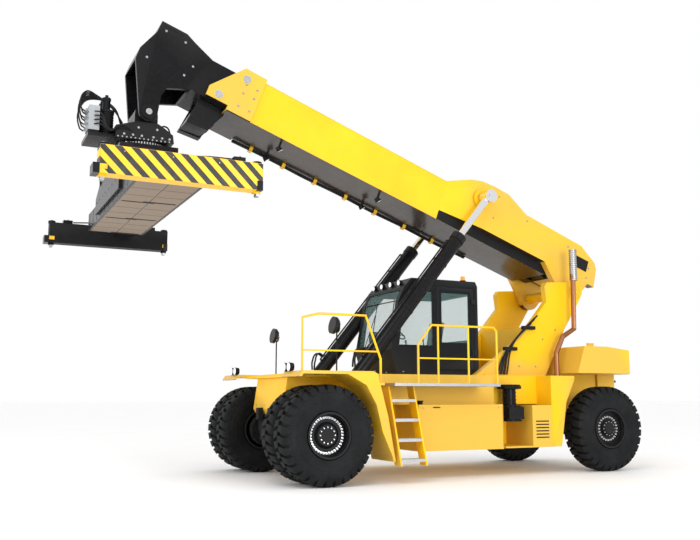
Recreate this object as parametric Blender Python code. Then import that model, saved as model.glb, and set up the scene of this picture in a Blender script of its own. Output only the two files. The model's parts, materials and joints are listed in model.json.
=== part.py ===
"""Reach stacker: a wheeled container handler with a telescopic boom and a spreader.

Metres, +Z up. The machine faces -Y and its left side is +X. The machine empty stands on
the ground under the drive axle, and every sub-part is written in that empty's frame.
"""

import math

import bmesh
import bpy
from mathutils import Matrix, Vector

# Driving dimensions -----------------------------------------------------------------

WHEELBASE = 6.206            # drive axle to steer axle
TYRE_RADIUS = 0.82
TYRE_WIDTH = 0.50
BEAD_RADIUS = 0.375          # rim seat of every tyre
DUAL_INNER_X = 1.276         # centre of the inner drive tyre
DUAL_SPACING = 0.56          # inner to outer drive tyre
STEER_WHEEL_X = 1.487        # centre of the steered tyre
KINGPIN_X = 1.20
FRONT_AXLE_Y = -1.74         # drive axle in the finished frame

DECK_OVER_TYRE = 0.20        # deck top above the tyre tops
BELLY_Z = 0.50               # underside of the frame between the axles
FRAME_HALF_WIDTH = 0.76
FRAME_PLATE = 0.06
DECK_HALF_WIDTH = 1.25
DECK_PLATE = 0.06
TREAD_BELOW_WALK = 0.25      # upper ladder tread below the walkway plate
REAR_DECK_HALF_WIDTH = 1.55
SIDE_BOX_X = 1.60            # outer face of the tanks and lockers
TAIL_HALF_WIDTH = 0.55

CAB_HALF_WIDTH = 0.745
CAB_HEIGHT = 1.85
CAB_WALL = 0.06
DOOR_THICKNESS = 0.05
DOOR_HINGE_RADIUS = 0.018

TOWER_INNER_X = 0.765
TOWER_PLATE = 0.135
BOOM_ANGLE = math.radians(20.0)
BOOM_PIVOT_BEHIND_AXLE = -0.086
BOOM_PIVOT_OVER_DECK = 1.76
BOOM_PIN_RADIUS = 0.11

OUTER_BOOM_REACH = 8.00      # pivot to the mouth, along the boom
OUTER_BOOM_HALF_WIDTH = 0.55
OUTER_BOOM_FLOOR = 0.19      # underside above the pivot, square to the boom
OUTER_BOOM_DEPTH = 0.84
BOOM_REAR_HALF_WIDTH = 0.72
BOOM_WALL = 0.03
PAD_THICKNESS = 0.035        # wear pads between the two booms
INNER_BOOM_PROUD = 1.253     # hanger pin beyond the mouth, along the boom
PIN_BELOW_PIVOT_LINE = 0.484
GOOSENECK_PLATE = 0.07

LIFT_CAB_CLEARANCE = 0.04    # between a lift barrel and the cab's side
LIFT_FOOT_Y = 1.00
LIFT_FOOT_BELOW_DECK = 0.09
LIFT_EYE_ALONG = 2.611       # rod eye on the boom: ahead of and above the pivot
LIFT_EYE_ABOVE = 0.976
LIFT_BARREL_LENGTH = 3.62
LIFT_BARREL_RADIUS = 0.135
LIFT_ROD_LENGTH = 3.35
LIFT_ROD_RADIUS = 0.075
LIFT_EYE_RADIUS = 0.13
LIFT_PIN_RADIUS = 0.06
LIFT_EYE_HALF_WIDTH = 0.12

TWISTLOCK_X = 2.9265         # half of 5.853 m
TWISTLOCK_Y = 1.1295         # half of 2.259 m
SPREADER_HALF_LENGTH = 2.20
SPREADER_HALF_WIDTH = 0.53
SLEW_RING_TOP = -0.51        # level of the slew ring, from the hanger pin
SPREADER_TOP = -1.34         # from the hanger pin
SPREADER_DEPTH = 0.32
ARM_HEIGHT = 0.19
ARM_WIDTH = 0.39
ARM_SPACING = 0.52           # between the centre lines of the two sliding arms
END_BEAM_HALF_WIDTH = 0.12
END_BEAM_OVERHANG = 0.05     # beam beyond the twistlock centres
END_BEAM_TOP = -1.43
END_BEAM_DEPTH = 0.41

GAP = 0.0003                 # between pieces that touch
RUNNING_GAP = 0.0005         # between a pin or rod and its bore
GUIDE_GAP = 0.005            # beside pieces that slide
RAIL_RADIUS = 0.021
MID_RAIL_RADIUS = 0.014
POST_RADIUS = 0.018
ROUND = 32                   # facets of pins and bores
WHEEL_ROUND = 40             # facets of tyres and rim seats

# Sizes that follow ------------------------------------------------------------------

AXLE_Z = TYRE_RADIUS
DECK_Z = 2 * TYRE_RADIUS + DECK_OVER_TYRE
AXLE_TOP = AXLE_Z + 0.30
FENDER_TOP = DECK_Z + 0.02
WALK_Z = DECK_Z - 0.17
DUAL_OUTER_X = DUAL_INNER_X + DUAL_SPACING
FENDER_OUTER_X = DUAL_OUTER_X + TYRE_WIDTH / 2 - 0.036
FENDER_REAR_Y = TYRE_RADIUS + 0.40
CLEANER_Y = WHEELBASE - 2.426      # front of the air cleaner bay
SKIRT_Y = WHEELBASE - 1.306        # front of the rear skirts
TANK_Y = FENDER_REAR_Y + 0.70
WALK_Y = FENDER_REAR_Y + 0.01
CAB_Y = 1.84
LIFT_X = CAB_HALF_WIDTH + LIFT_CAB_CLEARANCE + LIFT_BARREL_RADIUS
LIFT_SLOT_X = LIFT_X + max(LIFT_EYE_HALF_WIDTH, LIFT_BARREL_RADIUS) + 0.02
BOOM_PIVOT = Vector((0.0, WHEELBASE + BOOM_PIVOT_BEHIND_AXLE, DECK_Z + BOOM_PIVOT_OVER_DECK))
BOOM_TURN = Matrix.Rotation(-BOOM_ANGLE, 4, "X")
BOOM_FRAME = Matrix.Translation(BOOM_PIVOT) @ BOOM_TURN
PIN_LOCAL = Vector((0.0, -OUTER_BOOM_REACH - INNER_BOOM_PROUD, -PIN_BELOW_PIVOT_LINE))
HANGER_PIN = BOOM_FRAME @ PIN_LOCAL
LIFT_FOOT = Vector((0.0, LIFT_FOOT_Y, DECK_Z - LIFT_FOOT_BELOW_DECK))
LIFT_EYE = BOOM_FRAME @ Vector((0.0, -LIFT_EYE_ALONG, LIFT_EYE_ABOVE))
OUTER_BOOM_TOP = OUTER_BOOM_FLOOR + OUTER_BOOM_DEPTH
INNER_BOOM_HALF_WIDTH = OUTER_BOOM_HALF_WIDTH - BOOM_WALL - PAD_THICKNESS - GUIDE_GAP
INNER_BOOM_FLOOR = OUTER_BOOM_FLOOR + BOOM_WALL + PAD_THICKNESS + GAP
INNER_BOOM_TOP = OUTER_BOOM_TOP - BOOM_WALL - PAD_THICKNESS - GUIDE_GAP
SPREADER_FLOOR = SPREADER_TOP - SPREADER_DEPTH
ARM_FLOOR = SPREADER_FLOOR + 0.06
END_BEAM_FLOOR = END_BEAM_TOP - END_BEAM_DEPTH

YELLOW = (0.85, 0.52, 0.02)
BLACK = (0.02, 0.02, 0.022)
DARK_GREY = (0.09, 0.10, 0.11)
MID_GREY = (0.30, 0.31, 0.32)
GALVANISED = (0.52, 0.54, 0.56)
RUBBER = (0.03, 0.03, 0.032)
CHROME = (0.75, 0.76, 0.78)


# Solids -------------------------------------------------------------------------------

def to_object(bm):
    """A plain object from a bmesh, with its faces turned outwards."""
    bmesh.ops.recalc_face_normals(bm, faces=bm.faces)
    mesh = bpy.data.meshes.new("solid")
    bm.to_mesh(mesh)
    bm.free()
    obj = bpy.data.objects.new("solid", mesh)
    bpy.context.scene.collection.objects.link(obj)
    return obj


def prism(axis, outline, low, high, at=(0.0, 0.0)):
    """Extrude an outline along an axis: (y, z) along X, (x, z) along Y, (x, y) along Z."""
    order = {"X": lambda a, b, c: (c, a, b), "Y": lambda a, b, c: (a, c, b),
             "Z": lambda a, b, c: (a, b, c)}[axis]
    bm = bmesh.new()
    base = [bm.verts.new(order(a + at[0], b + at[1], low)) for a, b in outline]
    face = bm.faces.new(base)
    grown = bmesh.ops.extrude_face_region(bm, geom=[face])["geom"]
    shift = Vector(order(0.0, 0.0, high - low))
    top = [v for v in grown if isinstance(v, bmesh.types.BMVert)]
    bmesh.ops.translate(bm, vec=shift, verts=top)
    return to_object(bm)


def box(x_range, y_range, z_range):
    """Axis-aligned block."""
    (x0, x1), (y0, y1) = sorted(x_range), y_range
    return prism("Z", [(x0, y0), (x1, y0), (x1, y1), (x0, y1)], z_range[0], z_range[1])


def cylinder(start, end, radius, sides=ROUND, end_radius=None):
    """Round bar or cone between two points."""
    start, end = Vector(start), Vector(end)
    along = end - start
    turn = along.to_track_quat("Z", "Y").to_matrix().to_4x4()
    bm = bmesh.new()
    bmesh.ops.create_cone(bm, cap_ends=True, segments=sides, radius1=radius,
                          radius2=radius if end_radius is None else end_radius,
                          depth=along.length,
                          matrix=Matrix.Translation((start + end) / 2) @ turn)
    return to_object(bm)


def cross_bar(x_range, centre, radius, sides=ROUND):
    """Round bar along X; centre is (y, z)."""
    x0, x1 = sorted(x_range)
    return cylinder((x0, *centre), (x1, *centre), radius, sides)


def turned(profile, centre, side, sides=WHEEL_ROUND):
    """Solid of revolution about the X axis through centre (y, z).

    The profile lists (x, radius to the facets); side is +1 left, -1 right.
    """
    bm = bmesh.new()
    rings = []
    for x, radius in profile:
        if radius == 0.0:
            rings.append([bm.verts.new((side * x, *centre))] * sides)
            continue
        radius /= math.cos(math.pi / sides)
        angles = [2 * math.pi * (i + 0.5) / sides for i in range(sides)]
        rings.append([bm.verts.new((side * x, centre[0] + radius * math.cos(a),
                                    centre[1] + radius * math.sin(a))) for a in angles])
    for ring, following in zip(rings, rings[1:] + rings[:1]):
        for i in range(sides):
            j = (i + 1) % sides
            corners = list(dict.fromkeys([ring[i], ring[j], following[j], following[i]]))
            if len(corners) > 2:
                bm.faces.new(corners)
    return to_object(bm)


def tube(points, radius=RAIL_RADIUS, resolution=2):
    """Bent tube through the points, with closed ends."""
    curve = bpy.data.curves.new("tube", "CURVE")
    curve.dimensions = "3D"
    curve.bevel_depth = radius
    curve.bevel_resolution = resolution
    curve.use_fill_caps = True
    spline = curve.splines.new("POLY")
    spline.points.add(len(points) - 1)
    for point, place in zip(spline.points, points):
        point.co = (*place, 1.0)
    holder = bpy.data.objects.new("tube", curve)
    bpy.context.scene.collection.objects.link(holder)
    bm = bmesh.new()
    bm.from_mesh(baked_mesh(holder))
    bmesh.ops.remove_doubles(bm, verts=bm.verts, dist=0.00001)
    discard(holder)
    return to_object(bm)


def bore_radius(pin_radius):
    """Radius at the corners of a faceted bore that its pin can turn in."""
    return (pin_radius + GAP) / math.cos(math.pi / ROUND)


def arc(centre, radius, start, end, steps):
    """Points on a circle, angles in degrees."""
    angles = [math.radians(start + (end - start) * i / steps) for i in range(steps + 1)]
    return [(centre[0] + radius * math.cos(a), centre[1] + radius * math.sin(a))
            for a in angles]


def both_sides(make, *args):
    """The solids of make(side, ...) for the left and the right side."""
    return [solid for side in (1, -1) for solid in make(side, *args)]


def x_span(side, inner, outer):
    return (side * inner, side * outer)


def baked_mesh(obj):
    bpy.context.view_layer.update()
    graph = bpy.context.evaluated_depsgraph_get()
    return bpy.data.meshes.new_from_object(obj.evaluated_get(graph))


def discard(obj):
    bpy.data.objects.remove(obj, do_unlink=True)


def combine(target, others, operation):
    """Boolean the other solids into the target, with the exact solver."""
    if not others:
        return target
    group = bpy.data.collections.new("operands")
    bpy.context.scene.collection.children.link(group)
    for other in others:
        group.objects.link(other)
    cut = target.modifiers.new(operation, "BOOLEAN")
    cut.operation = operation
    cut.operand_type = "COLLECTION"
    cut.collection = group
    cut.solver = "EXACT"
    target.data = baked_mesh(target)
    target.modifiers.clear()
    for other in others:
        discard(other)
    bpy.data.collections.remove(group)
    return target


def paint(obj, colour, roughness, metallic):
    material = bpy.data.materials.new(obj.name)
    material.use_nodes = True
    shader = material.node_tree.nodes["Principled BSDF"]
    shader.inputs["Base Color"].default_value = (*colour, 1.0)
    shader.inputs["Roughness"].default_value = roughness
    shader.inputs["Metallic"].default_value = metallic
    obj.data.materials.clear()
    obj.data.materials.append(material)
    for face in obj.data.polygons:
        face.material_index = 0


def part(name, parent, colour, solids, holes=(), at=(0.0, 0.0, 0.0), finish=(0.4, 0.2)):
    """One named sub-part in its parent's frame: united solids less the holes.

    Its origin is the point at, which is on the joint axis of a piece that moves.
    """
    obj = combine(solids[0], list(solids[1:]), "UNION")
    combine(obj, list(holes), "DIFFERENCE")
    obj.name = name
    obj.data.name = name
    paint(obj, colour, *finish)
    obj.data.transform(Matrix.Translation(-Vector(at)))
    obj.parent = parent
    obj.location = at
    return obj


def pivot(name, parent, at, turn=0.0):
    """Empty on a joint axis, turned about X."""
    empty = bpy.data.objects.new(name, None)
    bpy.context.scene.collection.objects.link(empty)
    empty.parent = parent
    empty.location = at
    empty.rotation_euler = (turn, 0.0, 0.0)
    return empty


# Chassis and axles ----------------------------------------------------------------------

def chassis_frame(machine):
    hull = [(-0.22, DECK_Z), (-0.31, DECK_Z - 0.63), (-0.25, AXLE_TOP), (0.45, AXLE_TOP),
            (0.85, BELLY_Z), (WHEELBASE - 1.25, BELLY_Z), (WHEELBASE - 0.95, AXLE_TOP),
            (WHEELBASE - 0.85, DECK_Z)]
    half = [(DECK_HALF_WIDTH, -0.30), (DECK_HALF_WIDTH, CLEANER_Y), (1.10, CLEANER_Y),
            (1.10, SKIRT_Y), (REAR_DECK_HALF_WIDTH, SKIRT_Y),
            (REAR_DECK_HALF_WIDTH, WHEELBASE - 0.726)]
    deck = half + [(-x, y) for x, y in reversed(half)]
    frame_x = (-FRAME_HALF_WIDTH, FRAME_HALF_WIDTH)
    tail_x = (-TAIL_HALF_WIDTH, TAIL_HALF_WIDTH)
    solids = [prism("X", hull, *frame_x),
              prism("Z", deck, DECK_Z - DECK_PLATE, DECK_Z),
              box(tail_x, (WHEELBASE - 0.96, WHEELBASE + 0.70), (AXLE_TOP, DECK_Z + 0.06 - GAP))]
    solids += both_sides(deck_sides)
    inner = FRAME_HALF_WIDTH - FRAME_PLATE
    bay_z = (BELLY_Z + 0.04, DECK_Z - DECK_PLATE)
    holes = [box((-inner, inner), (1.30, WHEELBASE - 1.40), bay_z),
             box((-0.35, 0.35), (1.45, 2.05), (BELLY_Z - 0.1, BELLY_Z + 0.1)),
             box((-0.35, 0.35), (WHEELBASE - 1.95, WHEELBASE - 1.50),
                 (BELLY_Z - 0.1, BELLY_Z + 0.1))]
    holes += both_sides(foot_slots)
    return part("chassis_frame", machine, YELLOW, solids, holes)


def deck_sides(side):
    """Side walls, rear skirt, step plate and cylinder foot lugs of one side."""
    foot_y, foot_z = LIFT_FOOT.y, LIFT_FOOT.z
    wall_y = FENDER_REAR_Y - 0.20
    skirt = [(SKIRT_Y, BELLY_Z), (SKIRT_Y + 0.22, BELLY_Z), (SKIRT_Y + 0.36, BELLY_Z + 0.83),
             (SKIRT_Y + 0.58, DECK_Z - 0.07), (SKIRT_Y, DECK_Z - 0.03)]
    pin_x = x_span(side, FRAME_HALF_WIDTH - 0.02, LIFT_SLOT_X + 0.08)
    return [
        box(x_span(side, DECK_HALF_WIDTH - 0.05, DECK_HALF_WIDTH), (wall_y, CLEANER_Y),
            (DECK_Z - 0.54, DECK_Z - 0.03)),
        box(x_span(side, 1.07, DECK_HALF_WIDTH - 0.02), (CLEANER_Y - 0.05, CLEANER_Y),
            (DECK_Z - 0.54, DECK_Z - 0.03)),
        box(x_span(side, 1.05, 1.10), (CLEANER_Y - 0.04, SKIRT_Y + 0.02),
            (DECK_Z - 0.54, DECK_Z - 0.03)),
        prism("X", skirt, *sorted(x_span(side, REAR_DECK_HALF_WIDTH - 0.05,
                                         REAR_DECK_HALF_WIDTH))),
        box(x_span(side, FRAME_HALF_WIDTH - 0.02, REAR_DECK_HALF_WIDTH - 0.02),
            (SKIRT_Y, SKIRT_Y + 0.05), (BELLY_Z, DECK_Z - 0.02)),
        box(x_span(side, FRAME_HALF_WIDTH - 0.02, SIDE_BOX_X), (CLEANER_Y, SKIRT_Y + 0.02),
            (BELLY_Z, BELLY_Z + 0.03)),
        box(x_span(side, LIFT_SLOT_X, LIFT_SLOT_X + 0.06), (foot_y - 0.22, foot_y + 0.22),
            (foot_z - 0.18, DECK_Z - 0.02)),
        cross_bar(pin_x, (foot_y, foot_z), LIFT_PIN_RADIUS),
    ]


def foot_slots(side):
    """Slot in the deck that one lift cylinder rises through."""
    inner = FRAME_HALF_WIDTH + 0.01
    return [box(x_span(side, inner, LIFT_SLOT_X), (LIFT_FOOT_Y - 0.22, LIFT_FOOT_Y + 0.45),
                (DECK_Z - 0.10, DECK_Z + 0.10))]


def drive_axle(machine):
    solids = [cross_bar((-0.42, 0.42), (0.0, AXLE_Z), 0.28),
              cross_bar((-0.95, 0.95), (0.0, AXLE_Z), 0.19),
              cross_bar((-1.66, 1.66), (0.0, AXLE_Z), 0.15),
              box((-0.30, 0.30), (-0.34, -0.10), (AXLE_Z - 0.16, AXLE_Z + 0.16))]
    for side in (1, -1):
        solids.append(box(x_span(side, 0.48, 0.74), (-0.22, 0.26), (AXLE_Z, AXLE_TOP - GAP)))
        solids.append(cross_bar(x_span(side, 0.84, 1.00), (0.0, AXLE_Z), 0.30))
    return part("drive_axle", machine, DARK_GREY, solids)


def steer_axle(machine):
    y = WHEELBASE
    solids = [box((-1.04, 1.04), (y - 0.15, y + 0.15), (AXLE_Z - 0.15, AXLE_Z + 0.15)),
              box((-0.32, 0.32), (y - 0.30, y + 0.30), (AXLE_Z + 0.05, AXLE_TOP - GAP)),
              cross_bar((-0.62, 0.62), (y + 0.24, AXLE_Z), 0.06)]
    holes = []
    for side in (1, -1):
        for low, high in ((-0.21, -0.14), (0.14, 0.21)):
            solids.append(box(x_span(side, 0.98, KINGPIN_X + 0.07), (y - 0.09, y + 0.09),
                              (AXLE_Z + low, AXLE_Z + high)))
        solids.append(box(x_span(side, 0.40, 0.48), (y + 0.10, y + 0.24),
                          (AXLE_Z - 0.05, AXLE_Z + 0.05)))
        x = side * KINGPIN_X
        holes.append(cylinder((x, y, AXLE_Z - 0.3), (x, y, AXLE_Z + 0.3),
                              0.05 + RUNNING_GAP))
    return part("steer_axle", machine, DARK_GREY, solids, holes)


def knuckle(name, kingpin, side):
    """Steering knuckle with kingpin and stub axle, in the kingpin's frame."""
    solids = [box(x_span(side, -0.105, 0.09), (-0.09, 0.09), (-0.14 + GAP, 0.14 - GAP)),
              cylinder((0, 0, -0.23), (0, 0, 0.23), 0.05),
              cross_bar(x_span(side, 0.05, 0.32), (0.0, 0.0), 0.09)]
    return part(name, kingpin, DARK_GREY, solids)


def tyre(name, wheel, x, side):
    """Tyre about the wheel empty, its centre x outboard of it."""
    half, r, bead = TYRE_WIDTH / 2, TYRE_RADIUS, BEAD_RADIUS
    section = [(-0.76 * half, bead), (0.76 * half, bead), (0.94 * half, bead + 0.08),
               (half, (r + bead) / 2), (0.96 * half, r - 0.10), (0.80 * half, r - 0.02),
               (0.48 * half, r), (-0.48 * half, r), (-0.80 * half, r - 0.02),
               (-0.96 * half, r - 0.10), (-half, (r + bead) / 2), (-0.94 * half, bead + 0.08)]
    solid = turned([(x + dx, radius) for dx, radius in section], (0.0, 0.0), side)
    return part(name, wheel, RUBBER, [solid], finish=(0.9, 0.0))


def drive_rim(name, wheel, side):
    """Spool that carries both drive tyres, in the wheel empty's frame."""
    centre = (DUAL_INNER_X + DUAL_OUTER_X) / 2
    reach = DUAL_SPACING / 2 + TYRE_WIDTH / 2 - 0.02
    seat, bore = BEAD_RADIUS - RUNNING_GAP, 0.15 + RUNNING_GAP
    inner = seat - 0.03
    hub_end = 1.70 - centre
    profile = [(1.10 - centre, bore), (hub_end, bore), (hub_end, 0.0), (hub_end + 0.26, 0.0),
               (hub_end + 0.26, 0.17), (hub_end + 0.18, 0.22), (hub_end + 0.08, 0.22),
               (hub_end + 0.08, inner), (reach, inner), (reach, seat), (-reach, seat),
               (-reach, inner), (hub_end + 0.03, inner), (hub_end + 0.03, 0.22),
               (1.10 - centre, 0.22)]
    solid = turned(profile, (0.0, 0.0), side)
    return part(name, wheel, BLACK, [solid], finish=(0.45, 0.6))


def steer_rim(name, wheel, side):
    """Rim of a steered wheel, in the wheel empty's frame."""
    reach = TYRE_WIDTH / 2 - 0.02
    seat, bore = BEAD_RADIUS - RUNNING_GAP, 0.09 + RUNNING_GAP
    inner = seat - 0.03
    start = KINGPIN_X + 0.13 - STEER_WHEEL_X
    tip = KINGPIN_X + 0.33 - STEER_WHEEL_X
    profile = [(start, bore), (tip, bore), (tip, 0.0), (tip + 0.16, 0.0), (tip + 0.16, 0.11),
               (tip + 0.11, 0.15), (tip + 0.08, 0.15), (tip + 0.08, inner), (reach, inner),
               (reach, seat), (-reach, seat), (-reach, inner), (tip + 0.03, inner),
               (tip + 0.03, 0.17), (start, 0.17)]
    solid = turned(profile, (0.0, 0.0), side)
    return part(name, wheel, BLACK, [solid], finish=(0.45, 0.6))


def running_gear(machine):
    drive_axle(machine)
    steer_axle(machine)
    centre = (DUAL_INNER_X + DUAL_OUTER_X) / 2
    for side, hand in ((1, "left"), (-1, "right")):
        front = pivot(f"front_{hand}_spin", machine, (side * centre, 0.0, AXLE_Z))
        tyre(f"front_{hand}_outer_tyre", front, DUAL_SPACING / 2, side)
        tyre(f"front_{hand}_inner_tyre", front, -DUAL_SPACING / 2, side)
        drive_rim(f"front_{hand}_rim", front, side)
        kingpin = pivot(f"{hand}_kingpin", machine, (side * KINGPIN_X, WHEELBASE, AXLE_Z))
        knuckle(f"{hand}_knuckle", kingpin, side)
        rear = pivot(f"rear_{hand}_spin", kingpin,
                     (side * (STEER_WHEEL_X - KINGPIN_X), 0.0, 0.0))
        tyre(f"rear_{hand}_tyre", rear, 0.0, side)
        steer_rim(f"rear_{hand}_rim", rear, side)


# Bodywork -------------------------------------------------------------------------------

def fender(name, machine, side):
    """Mudguard over the twin drive tyres of one side."""
    r = TYRE_RADIUS
    inside = [(-0.46, FENDER_TOP - 0.05), (0.33, FENDER_TOP - 0.05)]
    inside += [(0.67, AXLE_Z + r - 0.01), (r + 0.04, AXLE_Z + 0.48), (r + 0.15, AXLE_Z + 0.04),
               (r + 0.33, AXLE_Z - 0.36), (r + 0.35, AXLE_Z - 0.45)]
    outside = [(FENDER_REAR_Y - 0.01, AXLE_Z - 0.45), (r + 0.25, AXLE_Z + 0.30),
               (r + 0.06, FENDER_TOP - 0.04), (r - 0.02, FENDER_TOP), (-0.47, FENDER_TOP),
               (-0.53, FENDER_TOP - 0.09), (-0.50, FENDER_TOP - 0.10)]
    solids = [prism("X", inside + outside,
                    *sorted(x_span(side, DECK_HALF_WIDTH + GAP, FENDER_OUTER_X))),
              box(x_span(side, FENDER_OUTER_X - 0.13, FENDER_OUTER_X - 0.02),
                  (r, FENDER_REAR_Y - 0.20), (FENDER_TOP - 0.23, FENDER_TOP - 0.19))]
    return part(name, machine, YELLOW, solids)


def side_tank(name, machine, side):
    block = box(x_span(side, FRAME_HALF_WIDTH + GAP, SIDE_BOX_X), (TANK_Y, CLEANER_Y - 0.05),
                (BELLY_Z - 0.01, DECK_Z - 0.54 - GAP))
    return part(name, machine, YELLOW, [block])


def counterweight(machine):
    floor, y = DECK_Z + 0.06, WHEELBASE
    side_view = [(y - 0.669, floor), (y - 0.479, floor + 0.53), (y + 0.10, floor + 0.53),
                 (y + 1.194, floor + 0.41), (y + 1.194, floor)]
    heel = [(y + 0.714, floor + 0.02), (y + 1.18, floor + 0.02), (y + 1.17, floor - 0.30),
            (y + 0.80, floor - 0.42), (y + 0.72, floor - 0.38)]
    solids = [prism("X", side_view, -SIDE_BOX_X, SIDE_BOX_X), prism("X", heel, -0.60, 0.60)]
    holes = []
    for side in (1, -1):
        corner = [(side * (SIDE_BOX_X + 0.01), y + 0.665), (side * 0.99, y + 1.20),
                  (side * (SIDE_BOX_X + 0.01), y + 1.20)]
        holes.append(prism("Z", corner, floor - 0.5, floor + 0.7))
        solids.append(box(x_span(side, 1.18, 1.22), (y - 0.06, y + 0.10),
                          (floor + 0.45, floor + 0.62)))
    return part("counterweight", machine, YELLOW, solids, holes)


def engine_block(machine):
    block = box((-0.45, 0.45), (2.30, WHEELBASE - 2.10), (BELLY_Z + 0.04 + GAP, DECK_Z - 0.24))
    return part("engine_block", machine, MID_GREY, [block])


def walkway(machine):
    plate = box((DECK_HALF_WIDTH + GAP, 2.0), (WALK_Y, 3.40), (WALK_Z - 0.05, WALK_Z))
    return part("walkway", machine, GALVANISED, [plate], finish=(0.6, 0.7))


def access_ladder(machine):
    top, foot, first, treads = WALK_Z - 0.05 - GAP, 0.30, 0.38, 4
    stringer = [(1.50, top), (1.72, top), (2.15, foot), (1.93, foot)]
    start = WALK_Y + 0.02
    rise = (top - TREAD_BELOW_WALK - first) / (treads - 1)
    solids = [prism("Y", stringer, y, y + 0.03) for y in (start, start + 0.49)]
    for tread in range(treads):
        level = first + tread * rise
        x = 1.61 + 0.43 * (top - level) / (top - foot)
        solids.append(box((x - 0.11, x + 0.11), (start + 0.01, start + 0.51),
                          (level - 0.02, level + 0.02)))
    return part("access_ladder", machine, GALVANISED, solids, finish=(0.6, 0.7))


def front_rail(machine):
    """Handrail on the left fender, its rear foot on the fender's bracket."""
    x, foot = FENDER_OUTER_X - 0.07, FENDER_TOP + GAP
    mid, top = DECK_Z + 0.35, DECK_Z + 0.95
    rear = TYRE_RADIUS + 0.15
    loop = [(x, -0.46, foot), (x, -0.46, DECK_Z + 0.88), (x, -0.17, top), (x, 0.69, top),
            (x, rear, DECK_Z + 0.23), (x, rear, FENDER_TOP - 0.19 + GAP)]
    solids = [tube(loop), tube([(x, -0.46, mid), (x, rear - 0.045, mid)], MID_RAIL_RADIUS)]
    return part("front_rail", machine, YELLOW, solids)


def rear_rail(machine):
    x, foot = 1.96, WALK_Z + GAP
    mid, top = DECK_Z + 0.26, DECK_Z + 0.84
    loop = [(x, 1.715, foot), (x, 1.715, DECK_Z + 0.49), (x, 1.99, top), (x, 3.30, top),
            (x, 3.36, top - 0.07), (x, 3.36, foot)]
    solids = [tube(loop), tube([(x, 1.722, mid), (x, 3.353, mid)], MID_RAIL_RADIUS)]
    solids += [tube([(x, y, foot), (x, y, top - 0.008)], POST_RADIUS) for y in (2.12, 2.75)]
    return part("rear_rail", machine, YELLOW, solids)


def air_cleaner(machine):
    x, y = 1.10 + GAP + 0.235, CLEANER_Y + 0.29
    solids = [cylinder((x, y, DECK_Z - 0.86), (x, y, DECK_Z - 0.24), 0.235),
              cylinder((x, y, DECK_Z - 0.25), (x, y, DECK_Z - 0.17), 0.17)]
    return part("air_cleaner", machine, BLACK, solids, finish=(0.35, 0.1))


def battery_box(machine):
    block = box((FRAME_HALF_WIDTH + GAP, SIDE_BOX_X), (SKIRT_Y - 0.50, SKIRT_Y - 0.04),
                (BELLY_Z + 0.03 + GAP, DECK_Z - 0.56))
    return part("battery_box", machine, YELLOW, [block])


def exhaust(machine):
    """Muffler pipe that rises from the deck behind the tower."""
    x, y = 1.10, WHEELBASE
    route = [(x, y - 0.78, DECK_Z + GAP), (x, y - 0.78, DECK_Z + 0.46),
             (x, y - 0.60, DECK_Z + 0.80), (x, y - 0.30, DECK_Z + 0.97),
             (x, y - 0.275, DECK_Z + 1.98)]
    stack = cylinder((x, y - 0.275, DECK_Z + 1.97), (x, y - 0.24, DECK_Z + 2.62), 0.068)
    return part("exhaust", machine, MID_GREY, [tube(route, 0.052, 3), stack],
                finish=(0.5, 0.8))


def mirror(name, machine, side):
    """Round mirror on its arm, standing on a fender."""
    x, y, foot = side * 1.45, 0.40, FENDER_TOP + GAP
    head = DECK_Z + 0.81
    solids = [tube([(x, y, foot), (x, y, head - 0.10), (x, y - 0.05, head)], 0.014),
              cylinder((x, y - 0.03, head), (x, y - 0.09, head + 0.01), 0.15)]
    return part(name, machine, BLACK, solids, finish=(0.3, 0.1))


def bodywork(machine):
    chassis_frame(machine)
    for side, hand in ((1, "left"), (-1, "right")):
        fender(f"{hand}_fender", machine, side)
        side_tank(f"{hand}_tank", machine, side)
        mirror(f"{hand}_mirror", machine, side)
    counterweight(machine)
    engine_block(machine)
    walkway(machine)
    access_ladder(machine)
    front_rail(machine)
    rear_rail(machine)
    air_cleaner(machine)
    battery_box(machine)
    exhaust(machine)


# Cab ------------------------------------------------------------------------------------

DOOR_FRONT, DOOR_REAR = CAB_Y + 1.01, CAB_Y + 1.86
DOOR_BOTTOM, DOOR_TOP = 0.12, CAB_HEIGHT - 0.14


def cab_outline(inset):
    """Side view of the cab, each face moved in by the inset."""
    i = inset
    return [(CAB_Y + 0.13 + i, i), (CAB_Y + i, 0.47), (CAB_Y + 0.17 + i, 1.40),
            (CAB_Y + 0.30 + i, 1.68 - i / 2), (CAB_Y + 0.46 + i / 2, CAB_HEIGHT - i),
            (CAB_Y + 1.91 - i / 2, CAB_HEIGHT - i), (CAB_Y + 1.96 - i, CAB_HEIGHT - 0.09),
            (CAB_Y + 1.96 - i, 0.16), (CAB_Y + 1.86 - i, i)]


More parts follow.
